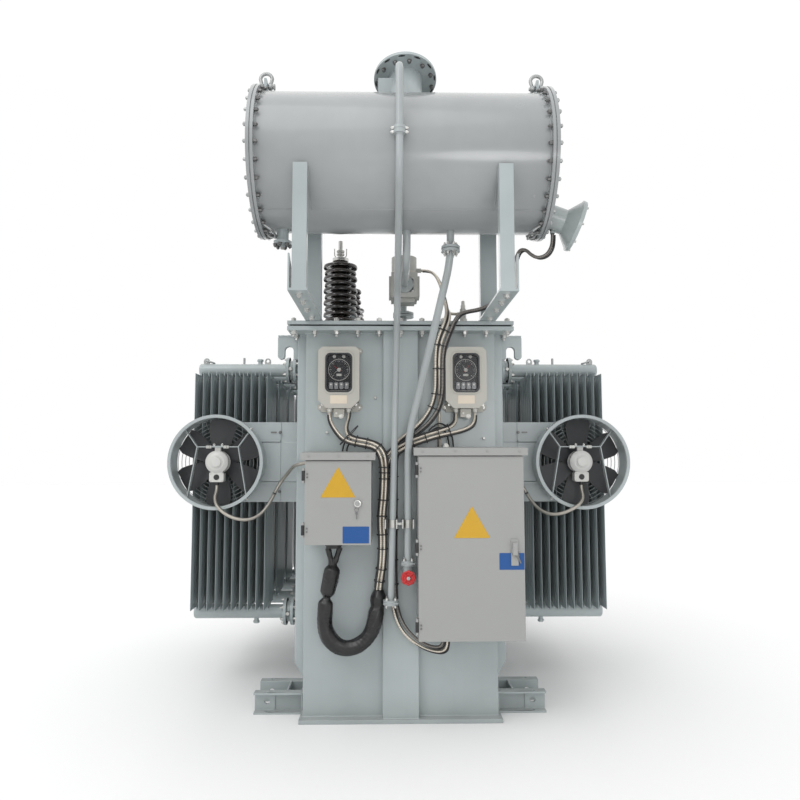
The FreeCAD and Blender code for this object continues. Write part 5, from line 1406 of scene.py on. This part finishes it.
# brackets: a bolt at the top and the bottom, a slot beside the upper one, ribs welded across
bracket = {"x": (0.668, 0.800), "boltY": -0.8215, "boltRise": 0.165, "slotX": 0.705, "plateY": -0.8165,
           "ribRise": 0.118, "ribHalf": 0.005}
bracketBolts = []
slots = Shape("darkSteel")
for side in (-1, 1):
    z = fan["height"]
    near, far = side * bracket["x"][0], side * bracket["x"][1]
    for way in (1, -1):
        bracketBolts.append(((near, bracket["boltY"], z + way * bracket["boltRise"]), forward))
    # each slot is a thin dark steel patch on the plate: painted shade standing for the dark of its opening
    slots.use("darkSteel").plate(rounded(0.034, 0.009, 0.004, (side * bracket["slotX"], z + bracket["boltRise"])),
                                 "y", bracket["plateY"] - 0.0015, bracket["plateY"])
    for way in (-1, 1):
        low = z + way * bracket["ribRise"] - bracket["ribHalf"]
        high = z + way * bracket["ribRise"] + bracket["ribHalf"]
        slots.use("fanPaint").plate([(near, low), (far, low), (far, high), (near, high)], "y",
                                    bracket["plateY"] - 0.0095, bracket["plateY"])
fastened("bracket_bolts", bracketBolts, 0.013, 0.007, 0.009, 0.004, finish="darkSteel")
piece("bracket_ribs_and_slot_shade", slots, "fan_paint")
print("fans finished")


# conservator drum: bolted ends, shackles, plugs, seams, vent and level gauge

drum = {
    "y": -1.540, "z": 2.691, "radius": 0.319, "half": 0.640, "rim": 0.349, "cover": 0.671, "bolts": 28,
    "boltCircle": 0.334, "across": 0.0155, "handleRise": 0.15, "eye": (0.646, 3.072), "eyeTop": 3.138,
    "vent": (0.016, 3.110), "ventLean": 20, "sump": (-0.559, 2.306),
}
axisY, axisZ = drum["y"], drum["z"]
endBolts, endNuts = [], []
for side in (-1, 1):
    way = (side, 0, 0)
    for x, facing, places in ((drum["cover"], way, endBolts), (drum["half"], (-side, 0, 0), endNuts)):
        for place in circle((side * x, axisY, axisZ), way, drum["boltCircle"], drum["bolts"], 0.11):
            places.append((place, facing))
fastened("drum_bolts", endBolts, drum["across"], 0.008, 0.0095, 0.003, finish="galvanised")
fastened("drum_nuts", endNuts, drum["across"], 0.012, 0.0095, 0.005, finish="darkSteel")

# the raised middle of each end cover and its two handles
ends = Shape("drumPaint")
for side in (-1, 1):
    start = (side * drum["cover"], axisY, axisZ)
    ends.turned(mm((-1, 232), (1.6, 230), (4, 222)), start, (side, 0, 0), 96)
    for dz in (-1, 1):
        ends.tube([(side * x, axisY + dy, axisZ + dz * drum["handleRise"]) for x, dy in (
            (0.668, -0.06), (0.688, -0.06), (0.692, -0.054), (0.692, 0.054), (0.688, 0.06), (0.668, 0.06))], 0.007, 10)
piece("drum_ends_detail", ends, "paint")


def drumPlace(x, degrees, lift=0.0):
    angle = radians(degrees)
    reach = drum["radius"] + lift
    return (x, axisY - reach * cos(angle), axisZ + reach * sin(angle))


# the long seam, the girth seams by the rims, the saddle welds on the posts
drumSeams = [[drumPlace(-0.638 + 0.04 * i, degrees, -0.0008) for i in range(33)] for degrees in (-59, 149)]
for side in (-1, 1):
    drumSeams.append(loopOf(circle((side * 0.639, axisY, axisZ), (1, 0, 0), drum["radius"] + 0.0008, 72)))
    for shift in (-0.031, 0.031):
        drumSeams.append([drumPlace(side * 0.44 + shift, angle, 0.001) for angle in range(-60, -20, 4)])
drumSeams.append(loopOf(circle((drum["vent"][0], axisY, 3.0075), upward, 0.083, 40)))
welded("drum_seams", drumSeams, 0.006, 0.008, "drumPaint")


def bow(shape, foot, top, width, rod, pinAcross):
    # a bow shackle: two legs, a round bow and a pin through the eye, lying in the X-Z plane
    x, y, z = foot
    points = [(x - width * 0.36, y, z)]
    middleZ = top - width / 2
    points.append((x - width * 0.40, y, z + (middleZ - z) * 0.45))
    for k in range(13):
        angle = pi - pi * k / 12
        points.append((x + (width / 2) * cos(angle), y, middleZ + (width / 2) * sin(angle)))
    points += [(x + width * 0.40, y, z + (middleZ - z) * 0.45), (x + width * 0.36, y, z)]
    shape.tube(points, rod, 12)
    for side in (-1, 1):
        shape.turned(((-rod * 1.1, rod * 1.5), (-rod * 0.6, rod * 1.9), (rod * 0.6, rod * 1.9),
                      (rod * 1.1, rod * 1.5)), (x + side * width * 0.36, y, z), (1, 0, 0), 16)
    reach = width * 0.36 + rod * 1.9
    shape.turned(((0, rod * 0.95), (2 * reach, rod * 0.95)), (x - reach, y, z), (1, 0, 0), 16)
    shape.turned(((0, rod * 1.7), (pinAcross, rod * 1.7)), (x + reach - 0.002, y, z), (1, 0, 0), 6)


shackles = Shape("galvanised")
for side in (-1, 1):
    bow(shackles, (side * drum["eye"][0], axisY, drum["eye"][1]), drum["eyeTop"], 0.056, 0.0085, 0.008)
# the loose one left pinned under each rim
for side, lean in ((-1, 0.2), (1, -0.1)):
    x = side * 0.622
    shackles.tube([drumPlace(x + side * dx, degrees, lift) for dx, degrees, lift in (
        (0.012, -74 + lean, 0.012), (-0.02, -76, 0.03), (-0.036, -83, 0.036), (-0.03, -90, 0.034),
        (-0.004, -93, 0.024), (0.014, -92, 0.012))], 0.0055, 10)
piece("shackles", shackles, "plated_steel")

fittings = Shape("darkSteel")
for x in (-0.370, 0.406):
    foot = (x, axisY, axisZ + drum["radius"])
    if x < 0:
        fittings.use("pipePaint").turned(mm((-4, 26), (8, 26), (10, 22.5), (17, 19), (22, 12), (23.5, 0)), foot,
                                         upward, 28)
    else:
        fittings.use("darkSteel").turned(mm((-4, 24.5), (6, 24.5), (6, 19), (12, 19), (22.5, 18.5), (24, 16)), foot,
                                         upward, 6)
# the sump's flange, its bolts' heads and the plug below
sump = (drum["sump"][0], axisY, drum["sump"][1])
fittings.use("pipePaint").turned(mm((0, 0), (0, 12), (-14, 12), (-15.5, 0), (0, 0)), sump, upward, 20)
fittings.use("plated").turned(mm((-15.5, 10.5), (-22, 10.5), (-22.5, 0)), sump, upward, 6)
piece("drum_plugs", fittings, "plated_steel", edge=0.0005)
sumpBolts = [(place, downward) for place in circle((sump[0], axisY, sump[2] + 0.0005), upward, 0.034, 6, 0.3)]

# vent: bolts round its tilted lid
leanAngle = radians(drum["ventLean"])
lean = Vector((0, sin(leanAngle), cos(leanAngle)))
ventTop = Vector((drum["vent"][0], axisY, drum["vent"][1]))
ventBolts = []
for place in circle(ventTop, lean, 0.128, 12, 0.13):
    ventBolts.append((tuple(Vector(place) + lean * 0.0125), tuple(lean)))
for place in circle(ventTop - lean * 0.0165, lean, 0.128, 12, 0.13):
    ventBolts.append((place, tuple(-lean)))
fastened("vent_bolts", ventBolts + sumpBolts, 0.016, 0.009, 0.011, 0.005, finish="darkSteel")
# dark rubber crescents between the bolts: painted shade standing for the shade under the vent's flange
crescents = Shape("gasket")
tilted = turnTo(lean)
for k in range(12):
    first = 2 * pi * (k + 0.28) / 12 + 0.13
    rings = []
    for j in range(7):
        angle = first + 2 * pi * 0.44 / 12 * j / 6
        spread = 0.004 * sin(pi * (j + 0.4) / 6.8)
        ring = []
        for du, dv in ((-1, -1), (1, -1), (1, 1), (-1, 1)):
            reach = 0.1405 + du * spread
            at = Vector((reach * cos(angle), reach * sin(angle), -0.0010 + 0.0016 * dv))
            ring.append(ventTop + tilted @ at + lean * 0.0004)
        rings.append(ring)
    crescents.rings(rings)
piece("vent_shade_crescents", crescents, "gasket")

# oil level gauge: dial, pointer, glass and rim screws
levelGauge = {"foot": (0.641, -1.570, 2.452), "droop": 20, "reach": 0.183, "marks": 11, "markCircle": 0.088,
              "gland": (0.703, -1.570, 2.382)}
droop = radians(levelGauge["droop"])
gaugeWay = Vector((cos(droop), 0, -sin(droop)))
dialAt = Vector(levelGauge["foot"]) + gaugeWay * levelGauge["reach"]
levelDial = Shape("whitePlastic")
levelDial.turned(mm((0, 98), (1.2, 98)), dialAt, gaugeWay, 64)
square = turnTo(gaugeWay)
for k in range(levelGauge["marks"]):
    angle, reach = radians(-120 + 24 * k), levelGauge["markCircle"]
    spot = dialAt + square @ Vector((reach * sin(angle), reach * cos(angle), 0.0012))
    levelDial.use("blackPlastic").turned(mm((0, 2.5), (0.6, 2.5)), spot, gaugeWay, 8)
needle = [dialAt + square @ Vector((x * 0.001, y * 0.001, 0.003)) for x, y in ((-4, -22), (4, -22), (1, 78), (-1, 78))]
upper = [point + gaugeWay * 0.0012 for point in needle]
levelDial.use("redPaint").add(needle + upper, [(0, 1, 2, 3), (7, 6, 5, 4), (0, 4, 5, 1), (1, 5, 6, 2), (2, 6, 7, 3),
                                              (3, 7, 4, 0)])
levelDial.use("blackPlastic").turned(mm((0, 8), (5, 7)), dialAt, gaugeWay, 20)
levelDial.use("levelPaint").turned(mm((-4, 100), (-4, 119.5), (6, 119.5), (9, 117), (9, 104), (6, 100), (-4, 100)),
                                   dialAt, gaugeWay, 64)
piece("level_gauge_dial", levelDial, "level_gauge_paint")
levelScrews = [(place, tuple(gaugeWay)) for place in circle(dialAt + gaugeWay * 0.0088, gaugeWay, 0.111, 8, 0.2)]
fastened("level_gauge_screws", levelScrews, 0.009, 0.004, 0.006, 0.001)
levelGland = Shape("blackPlastic")
levelGland.turned(mm((0, 13.5), (10, 13.5), (11, 12), (16, 11.2), (24, 10.5), (30, 9.5)), levelGauge["gland"],
                  downward, 12)
piece("level_gauge_gland", levelGland, "gland")
print("drum finished")


# gauges: place and pointer of each, dial behind the window, knobs, ears, screws and blank labels

gauge = {
    "places": {"left": (-0.314, -52), "right": (0.331, 38)}, "z": 1.716, "front": -1.238, "window": (0.136, 0.200),
    "windowZ": 1.740, "dial": 0.054, "gland": (0.048, -1.188, 1.536), "screw": (0.086, 0.138), "ear": (0.100, 0.146),
}
gaugeScrews = []
for label, (x, needleTurn) in gauge["places"].items():
    face, z = gauge["front"], gauge["windowZ"]
    case = Shape("gaugeCoat")
    w, h = gauge["window"]
    outer = rounded(w + 0.020, h + 0.020, 0.034, (x, z), 8)
    inner = rounded(w, h, 0.026, (x, z), 8)
    rings = [flat(outer, face + 0.001), flat(outer, face - 0.003),
             flat(rounded(w + 0.012, h + 0.012, 0.031, (x, z), 8), face - 0.0045), flat(inner, face - 0.001),
             flat(inner, face + 0.018), flat(outer, face + 0.018), flat(outer, face + 0.001)]
    case.rings(rings, closed=False)
    piece(label + "_gauge_frame", case, "gauge_case", sharp=30)

    # the black seal round the window, then what stands behind the glass
    inside = Shape("dialBlack")
    back = face + 0.0215
    wide, narrow = [rounded(w + grow, h + grow, 0.026, (x, z), 8) for grow in (0.001, -0.014)]
    inside.rings([flat(wide, face - 0.0008), flat(wide, face - 0.0022), flat(narrow, face - 0.0022),
                  flat(narrow, face + 0.018), flat(wide, face + 0.018), flat(wide, face - 0.0008)], closed=False)
    inside.plate(rounded(w + 0.002, h + 0.002, 0.026, (x, z), 8), "y", back - 0.001, back)
    dialZ = z + 0.016
    dial = gauge["dial"]
    inside.use("dialBlack").turned(((0, dial), (0.0015, dial)), (x, back - 0.001, dialZ), forward, 64)
    inside.use("whitePlastic").turned(((0.0012, dial - 0.0012), (0.0024, dial - 0.0012), (0.0024, dial + 0.0012),
                                       (0.0012, dial + 0.0012), (0.0012, dial - 0.0012)), (x, back - 0.001,
                                                                                           dialZ), forward, 64)
    for k in range(25):
        # scale marks, every fourth one longer
        angle = radians(-135 + 270 * k / 24)
        first = dial * (0.72 if k % 4 == 0 else 0.8)
        last = dial * 0.9
        bold = 0.0011 if k % 4 == 0 else 0.0006
        du, dv = sin(angle), cos(angle)
        mark = [(x + du * reach - dv * half, dialZ + dv * reach + du * half)
                for reach, half in ((first, bold), (last, bold), (last, -bold), (first, -bold))]
        inside.plate(mark, "y", back - 0.0032, back - 0.0024)
    for turn, finish, long in ((needleTurn, "redPaint", 0.82), (needleTurn - 75, "whitePlastic", 0.72)):
        angle = radians(turn)
        du, dv = sin(angle), cos(angle)
        hand = [(x - du * 0.012 - dv * 0.0022, dialZ - dv * 0.012 + du * 0.0022),
                (x - du * 0.012 + dv * 0.0022, dialZ - dv * 0.012 - du * 0.0022),
                (x + du * dial * long, dialZ + dv * dial * long)]
        lift = 0.0048 if finish == "redPaint" else 0.0062
        inside.use(finish).plate(hand, "y", back - lift - 0.0008, back - lift)
    inside.use("whitePlastic").turned(mm((0, 10.5), (6, 9.5), (8, 7)), (x, back - 0.001, dialZ), forward, 24)
    for dx in (-0.024, 0.024):
        inside.turned(mm((0, 8.5), (5, 8.5), (6.5, 6)), (x + dx, back - 0.001, z + 0.084), forward, 20)
    inside.plate(rounded(0.026, 0.012, 0.002, (x, dialZ - 0.026)), "y", back - 0.0034, back - 0.0024)
    # the row of adjusting knobs and the blank scale below
    for k in range(4):
        inside.use("gaugeKnob").plate(rounded(0.0205, 0.034, 0.006, (x + 0.0265 * (k - 1.5), z - 0.066)), "y",
                                      back - 0.013, back - 0.001)
        inside.use("whitePlastic").turned(mm((0, 5), (3, 4.5)), (x + 0.0265 * (k - 1.5), back - 0.013, z - 0.060),
                                          forward, 12)
    inside.plate(oblong(x, z - 0.0895, 0.052, 0.001), "y", back - 0.002, back - 0.0008)
    piece(label + "_gauge_inside", inside, "gauge_case", edge=0.0004)

    trim = Shape("labelCream")
    trim.plate(rounded(0.084, 0.042, 0.003, (x, gauge["z"] - 0.113)), "y", face - 0.0012, face + 0.0005)
    piece(label + "_gauge_label", trim, "gauge_case", edge=0.0003)
    corners = [(dx, dz) for dx in (-1, 1) for dz in (-1, 1)]
    screwX, screwZ = gauge["screw"]
    gaugeScrews += [((x + dx * screwX, face + 0.0195, gauge["z"] + dz * screwZ), forward) for dx, dz in corners]
    ears = Shape("gaugeCoat")
    for dx, dz in corners:
        earX, earZ = x + dx * gauge["ear"][0], gauge["z"] + dz * gauge["ear"][1]
        ears.turned(mm((0, 16), (7, 16), (8.5, 14.5)), (earX, frontWall, earZ), forward, 20)
        gaugeScrews.append(((earX, frontWall - 0.0085, earZ), forward))
    # the small junction box between the glands, with its two studs
    ears.use("gaugeCoat").box((x - 0.027, -1.206, 1.516), (x + 0.027, -1.160, 1.5585))
    ears.use("whitePlastic").turned(mm((0, 12.5), (6, 12.5), (10, 9.5), (12, 5)), (x + 0.012, -1.206, 1.520), forward,
                                    20)
    ears.turned(mm((0, 6), (6, 5.4)), (x - 0.013, -1.206, 1.536), forward, 14)
    for dx in (-1, 1):
        glandX, glandY, glandZ = gauge["gland"]
        ears.turned(mm((0, 12.5), (4, 13.5), (9, 13.5), (10, 11.8), (18, 11.4), (22, 9.2)),
                    (x + dx * glandX, glandY, glandZ + 0.028), downward, 10)
    piece(label + "_gauge_fittings", ears, "gauge_case", edge=0.0005)
fastened("gauge_screws", gaugeScrews, 0.0085, 0.0045, 0.0062, 0.0006, finish="bright")


# cabinets: hinges, locks, seals, and plain blank plates where labels would go

cabinets = {
    "left": {"x": (-0.468, -0.146), "z": (0.892, 1.299), "front": -1.343, "body": "left_cabinet_door",
             "hinges": (0.963, 1.224), "hingeX": -0.475, "rivets": (-0.45, -0.307, -0.164),
             "rivetZ": 1.3185},
    "right": {"x": (0.080, 0.586), "z": (0.448, 1.321), "front": -1.388, "body": "right_cabinet_door",
              "hinges": (0.515, 0.8845, 1.252), "hingeX": 0.073, "rivets": (0.10, 0.255, 0.411, 0.566),
              "rivetZ": 1.341},
}
leftFront, rightFront = cabinets["left"]["front"], cabinets["right"]["front"]


def blankTriangle(name, base, apex, half, face, body):
    # a blank three-cornered plate with rounded corners
    plate = Shape("plateYellow")
    corners = [(apex[0] - half, base), (apex[0] + half, base), apex]
    points = []
    for (u0, v0), (u, v), (u1, v1) in zip(corners[-1:] + corners[:-1], corners, corners[1:] + corners[:1]):
        for share in (0.05, 0.02):
            points.append((u + (u0 - u) * share, v + (v0 - v) * share))
        for share in (0.02, 0.05):
            points.append((u + (u1 - u) * share, v + (v1 - v) * share))
    plate.plate(points, "y", face - 0.0013, face + 0.0002)
    piece(name, plate, "cabinet_paint", body=body)


def blankPlate(name, low, high, face, body, finish="plateBlue"):
    plate = Shape(finish)
    middle = ((low[0] + high[0]) / 2, (low[1] + high[1]) / 2)
    plate.plate(rounded(high[0] - low[0], high[1] - low[1], 0.003, middle), "y", face - 0.0012, face + 0.0002)
    piece(name, plate, "cabinet_paint", body=body)


blankTriangle("left_blank_triangle", 1.119, (-0.307, 1.266), 0.085, leftFront, "left_cabinet_door")
blankTriangle("right_blank_triangle", 0.929, (0.336, 1.080), 0.087, rightFront, "right_cabinet_door")
blankPlate("left_blank_plate", (-0.283, 0.900), (-0.156, 0.980), leftFront, "left_cabinet_door")
blankPlate("right_blank_plate", (0.465, 0.780), (0.584, 0.858), rightFront, "right_cabinet_door")

# seals inside the doors' edges
sealEdge = {"inset": 0.02, "width": 0.008, "rear": 0.0028, "front": 0.0095}
for label, one in cabinets.items():
    (x0, x1), (z0, z1) = [(low + sealEdge["inset"], high - sealEdge["inset"]) for low, high in (one["x"], one["z"])]
    thick, rear, front = sealEdge["width"], one["front"] + sealEdge["rear"], one["front"] + sealEdge["front"]
    seal = Shape("gasket")
    for low, high in (((x0, z0), (x1, z0 + thick)), ((x0, z1 - thick), (x1, z1)),
                      ((x0, z0 + thick), (x0 + thick, z1 - thick)), ((x1 - thick, z0 + thick), (x1, z1 - thick))):
        seal.box((low[0], rear, low[1]), (high[0], front, high[1]))
    piece(label + "_door_seal", seal, "gasket", body=one["body"], edge=0.0012)

# left lock: a round barrel with a slot; right: a smaller one over the lever plate, with its key in it
lock = Shape("bright")
lx, lz = -0.212, 1.090
lock.turned(mm((-2, 20.5), (1, 20.5), (3, 19), (10, 16.5), (10.5, 12.5), (8.5, 11.5)), (lx, leftFront, lz), forward,
            40)
# the keyhole is a thin dark steel patch: painted shade for the dark of its opening
lock.use("darkSteel").plate(oblong(lx, lz, 0.0012, 0.006), "y", leftFront - 0.0092, leftFront - 0.008)
lock.use("bright")
lock.box((lx - 0.0012, leftFront - 0.0098, lz - 0.0105), (lx + 0.0012, leftFront - 0.008, lz - 0.0035))
piece("left_lock", lock, "plated_steel", body="left_cabinet_door", edge=0.0004)
# the key left hanging under the left lock
key = Shape("darkSteel")
keyLoop = circle((lx - 0.004, leftFront - 0.006, lz - 0.030), (0, 1, 0), 0.010, 20)
key.tube(loopOf(keyLoop)[:20], 0.0009, 6)
key.plate(rounded(0.011, 0.014, 0.004, (lx - 0.004, lz - 0.047)), "y", leftFront - 0.0068, leftFront - 0.005)
key.plate([(lx - 0.0062, lz - 0.052), (lx - 0.0018, lz - 0.052), (lx - 0.0018, lz - 0.074), (lx - 0.0040, lz - 0.077),
           (lx - 0.0062, lz - 0.072)], "y", leftFront - 0.0066, leftFront - 0.0052)
piece("left_key", key, "plated_steel", body="left_cabinet_door")
handle = Shape("galvanised")
hx, hz = 0.538, 0.868
handle.turned(mm((-2, 19.5), (2, 19.5), (4, 17.5), (10, 15.5), (10.8, 12), (8.8, 11)), (hx, rightFront, hz), forward,
              36)
# the keyhole is a thin dark steel patch: painted shade for the dark of its opening
handle.use("darkSteel").plate(oblong(hx, hz, 0.0012, 0.006), "y", rightFront - 0.0094, rightFront - 0.008)
lean = radians(24)
keyBlank = [(-0.009, 0.004), (0.009, 0.004), (0.011, -0.012), (0.009, -0.026), (0.004, -0.031), (0.0035, -0.060),
            (0.0, -0.064), (-0.0035, -0.060), (-0.004, -0.031), (-0.009, -0.026), (-0.011, -0.012)]
turned = [(hx + 0.002 + u * cos(lean) - v * sin(lean), hz + u * sin(lean) + v * cos(lean))
          for u, v in keyBlank]
handle.use("darkSteel").plate(turned, "y", rightFront - 0.0135, rightFront - 0.0112)
piece("right_handle", handle, "plated_steel", body="right_cabinet_door", edge=0.0005)

# black sleeves over the hinge knuckles
for label, one in cabinets.items():
    knuckles = Shape("blackPlastic")
    for z in one["hinges"]:
        knuckles.turned(mm((-24, 7.2), (-22, 8.4), (22, 8.4), (24, 7.2)), (one["hingeX"], one["front"], z), upward, 20)
    piece(label + "_hinge_sleeves", knuckles, "gland", sharp=40)

# a white plug on the right hood, behind its front edge
plug = Shape("whitePlastic")
plug.turned(mm((0, 15), (8, 15.5), (16, 13), (24, 7.5), (26, 0)), (0.228, -1.222, 1.358), upward, 28)
piece("hood_plug", plug, "gland", sharp=50)

# hinge screws on the doors and rivets on the hoods
rivets = []
for label, one in cabinets.items():
    screws = [((one["x"][0] + 0.012, one["front"] + 0.0001, z + dz), forward) for z in one["hinges"]
              for dz in (-0.008, 0.008)]
    fastened(label + "_door_screws", screws, 0.006, 0.002, 0.0045, 0.0004, finish="darkSteel", body=one["body"])
    rivets += [((x, one["front"] - 0.010, one["rivetZ"]), forward) for x in one["rivets"]]
fastened("hood_rivets", rivets, 0.006, 0.0016, 0.0048, 0.0002, finish="cabinetCoat", slot="cabinet_paint")


# pipes: flange bolts, collar bolts, clamps and the handwheel

pipe = {"y": -1.255, "breather": (-0.050, 0.592), "drain": (0.034, 0.805), "coupling": (-0.017, -1.890, 2.697)}
couplingX, couplingY, couplingZ = pipe["coupling"]
(breatherX, breatherZ), (drainX, drainZ) = pipe["breather"], pipe["drain"]
pipeBolts = [((couplingX + side * 0.025, couplingY, couplingZ + dz), (side, 0, 0)) for side in (-1, 1)
             for dz in (-0.009, 0.009)]
for x, y, z in circle((breatherX, pipe["y"], breatherZ), upward, 0.029, 4, pi / 4):
    pipeBolts += [((x, y, z), downward), ((x, y, z + 0.024), upward)]
pipeBolts += [(place, upward) for place in circle((drainX, pipe["y"], drainZ), upward, 0.0262, 4, pi / 4)]
relayBolts = [(place, upward) for place in circle((0.022, -0.840, coverHigh.z + 0.118), upward, 0.038, 6, 0.2)]
fastened("pipe_bolts", pipeBolts, 0.0125, 0.007, 0.0078, 0.004, finish="bright")

# the clamps' ears, one each side of both pipes
ears = Shape("plated")
for x in (-0.078, -0.022, 0.008, 0.060):
    ears.plate(rounded(0.0075, 0.046, 0.0032, (x, 0.985)), "y", -1.288, -1.222)
piece("clamp_ears", ears, "plated_steel", edge=0.0008)

# square plates at the foot of the breather and under the drain
footPlates = Shape("pipePaint")
for x, z, half in ((breatherX, breatherZ + 0.0115, 0.036), (drainX, drainZ - 0.012, 0.033)):
    footPlates.box((x - half, pipe["y"] - half, z - 0.003), (x + half, pipe["y"] + half, z + 0.003))
piece("pipe_foot_plates", footPlates, "paint", edge=0.001)

# bolts through the drain's upper flanges
flangeBolts = []
for k in range(6):
    x, y = 0.228 + 0.0272 * cos(pi * k / 3), axisY + 0.0272 * sin(pi * k / 3)
    flangeBolts += [((x, y, 2.2985), upward), ((x, y, 2.2735), downward)]
fastened("drain_flange_bolts", flangeBolts, 0.0145, 0.010, 0.0095, 0.008, finish="bright")
coupling = Shape("pipePaint")
coupling.turned(mm((-20, 16.5), (-17, 19.5), (-16.5, 26), (-3.5, 26.5), (-3, 22.5), (3, 22.5), (3.5, 26.5), (16.5, 26),
                   (17, 19.5), (20, 16.5), (-20, 16.5)), pipe["coupling"], upward, 32)
piece("breather_coupling", coupling, "paint", sharp=30)

pocket = Shape("plated")
px, py = 0.334, -1.086
pocket.turned(mm((88, 16), (78, 17), (78, 18.5), (66, 18.5)), (px, py, coverHigh.z), upward, 6)
pocket.use("whitePlastic").turned(mm((88, 12.5), (108, 12.5), (110, 10), (132, 8.5), (134, 0)), (px, py, coverHigh.z),
                                  upward, 24)
piece("pocket_cap", pocket, "plated_steel", edge=0.0008)

wheel = Shape("redPaint")
wx, wy, wz = 0.034, -1.317, 0.731
wheelWay = forward
rings = []
for j in range(96):
    # a scalloped rim with eight finger hollows
    angle = 2 * pi * j / 96
    reach = 0.0315 + 0.0016 * cos(8 * angle)
    ring = []
    for k in range(12):
        turn = 2 * pi * k / 12
        r = reach - 0.002 + 0.0062 * cos(turn)
        ring.append((wx + r * cos(angle), wy + 0.0048 * sin(turn), wz + r * sin(angle)))
    rings.append(ring)
rings.append(rings[0])
wheel.rings(rings, closed=False)
for k in range(4):
    angle = pi / 4 + pi * k / 2
    wheel.tube([(wx + 0.008 * cos(angle), wy, wz + 0.008 * sin(angle)),
                (wx + 0.018 * cos(angle), wy + 0.0012, wz + 0.018 * sin(angle)),
                (wx + 0.030 * cos(angle), wy, wz + 0.030 * sin(angle))], [0.0072, 0.0062, 0.0066], 10)
wheel.turned(mm((-8.8, 6.3), (-8.8, 11.5), (6, 11.8), (8.8, 10), (8.8, 6.3), (-8.8, 6.3)), (wx, wy, wz), wheelWay, 28)
wheel.turned(mm((0, 28.5), (4.2, 28.5)), (wx, wy + 0.0028, wz), wheelWay, 40)
piece("valve_wheel_detail", wheel, "handwheel", body="valve_wheel", stands=("valve_wheel",), sharp=40)
wheelNut = Shape("bright")
wheelNut.turned(mm((0, 8.8), (1, 9.5), (6, 9.5), (7, 8.5), (7, 6), (10.5, 5.5), (11, 0)), (wx, wy - 0.0088, wz),
                wheelWay, 6)
piece("wheel_nut", wheelNut, "plated_steel", body="valve_wheel", sharp=30)

relay = Shape("relayCap")
rx, ry = 0.022, -1.020
relay.turned(mm((0, 60), (6, 60), (8, 68.5), (20, 68.5), (24, 66), (78, 64.5), (90, 60), (98.5, 46), (99.2, 0)),
             (rx, ry, 2.2925), upward, 48)
relay.use("glass").plate(rounded(0.078, 0.062, 0.008, (rx, 2.225)), "y", -1.1115, -1.1095)
relay.use("plated").plate(rounded(0.096, 0.080, 0.010, (rx, 2.225)), "y", -1.1100, -1.1085)
piece("relay_cap", relay, "relay_paint", edge=0.0008, sharp=40)
relayScrews = [((rx + dx, -1.1100, 2.225 + dz), forward) for dx in (-0.043, 0.043) for dz in (-0.035, 0, 0.035)]
relayScrews += relayBolts
fastened("relay_screws", relayScrews, 0.009, 0.004, 0.0065, 0.001)
print("front fittings finished")
# camera, light and floor
cameraSet = {"place": (-0.066, -4.757, 1.314), "turn": (pi / 2 + 0.0812, 0.0008, -0.0174), "lens": 31.5}
lamps = {
    "key": {"place": (-4.0, -6.0, 7.0), "aim": (0.0, -0.6, 1.6), "size": 4.0, "power": 90},
    "strip": {"place": (1.2, -7.5, 1.9), "aim": (0.0, -1.5, 2.6), "size": 1.6, "power": 30},
    "back": {"place": (-2.0, 7.0, 5.0), "aim": (0.0, 0.5, 1.3), "size": 5.0, "power": 60},
}
sunSet = {"turn": (0.55, -0.35, 0.0), "power": 0.5, "softness": 0.9}
floorSet = {"size": 60.0, "colour": rgb(0.84, 0.84, 0.84)}
# brightest overhead, and paler behind the transformer than in front of it
skySet = {"Z": (-0.05, 0.75, 0.78, 1.14), "Y": (0.25, 0.65, 0.78, 1.0)}


camera = bpy.data.objects.new("camera", bpy.data.cameras.new("camera"))
scene.collection.objects.link(camera)
camera.location = cameraSet["place"]
camera.rotation_euler = cameraSet["turn"]
camera.data.sensor_width = 36.0
camera.data.lens = cameraSet["lens"]
camera.data.clip_end = 200.0
scene.camera = camera
for name, lamp in lamps.items():
    light = bpy.data.objects.new(name, bpy.data.lights.new(name, "AREA"))
    scene.collection.objects.link(light)
    light.data.shape = "DISK"
    light.data.size = lamp["size"]
    light.data.energy = lamp["power"]
    light.location = lamp["place"]
    aim = Vector(lamp["aim"]) - Vector(lamp["place"])
    light.rotation_euler = aim.to_track_quat("-Z", "Y").to_euler()
sun = bpy.data.objects.new("sun", bpy.data.lights.new("sun", "SUN"))
scene.collection.objects.link(sun)
sun.data.energy = sunSet["power"]
sun.data.angle = sunSet["softness"]
sun.rotation_euler = sunSet["turn"]
world = bpy.data.worlds.new("studio")
scene.world = world
world.use_nodes = True
sky = world.node_tree
direction = sky.nodes.new("ShaderNodeTexCoord")
split = sky.nodes.new("ShaderNodeSeparateXYZ")
sky.links.new(direction.outputs["Generated"], split.inputs["Vector"])
brighter = sky.nodes.new("ShaderNodeMath")
brighter.operation = "MAXIMUM"
for index, axis in enumerate(("Z", "Y")):
    spread = sky.nodes.new("ShaderNodeMapRange")
    for name, value in zip(("From Min", "From Max", "To Min", "To Max"), skySet[axis]):
        spread.inputs[name].default_value = value
    sky.links.new(split.outputs[axis], spread.inputs["Value"])
    sky.links.new(spread.outputs["Result"], brighter.inputs[index])
background = sky.nodes["Background"]
background.inputs["Color"].default_value = rgb(1.0, 1.0, 1.0)
sky.links.new(brighter.outputs[0], background.inputs["Strength"])
scene.view_settings.view_transform = "Standard"
half = floorSet["size"] / 2
floorMesh = bpy.data.meshes.new("floor")
floorMesh.from_pydata([(-half, -half, 0), (half, -half, 0), (half, half, 0), (-half, half, 0)], [], [(0, 1, 2, 3)])
floor = bpy.data.objects.new("floor", floorMesh)
scene.collection.objects.link(floor)
floorMesh.materials.append(plain("floorPaint", floorSet["colour"], rough=0.8, vary=0.01))
print("camera, lamps and floor set")
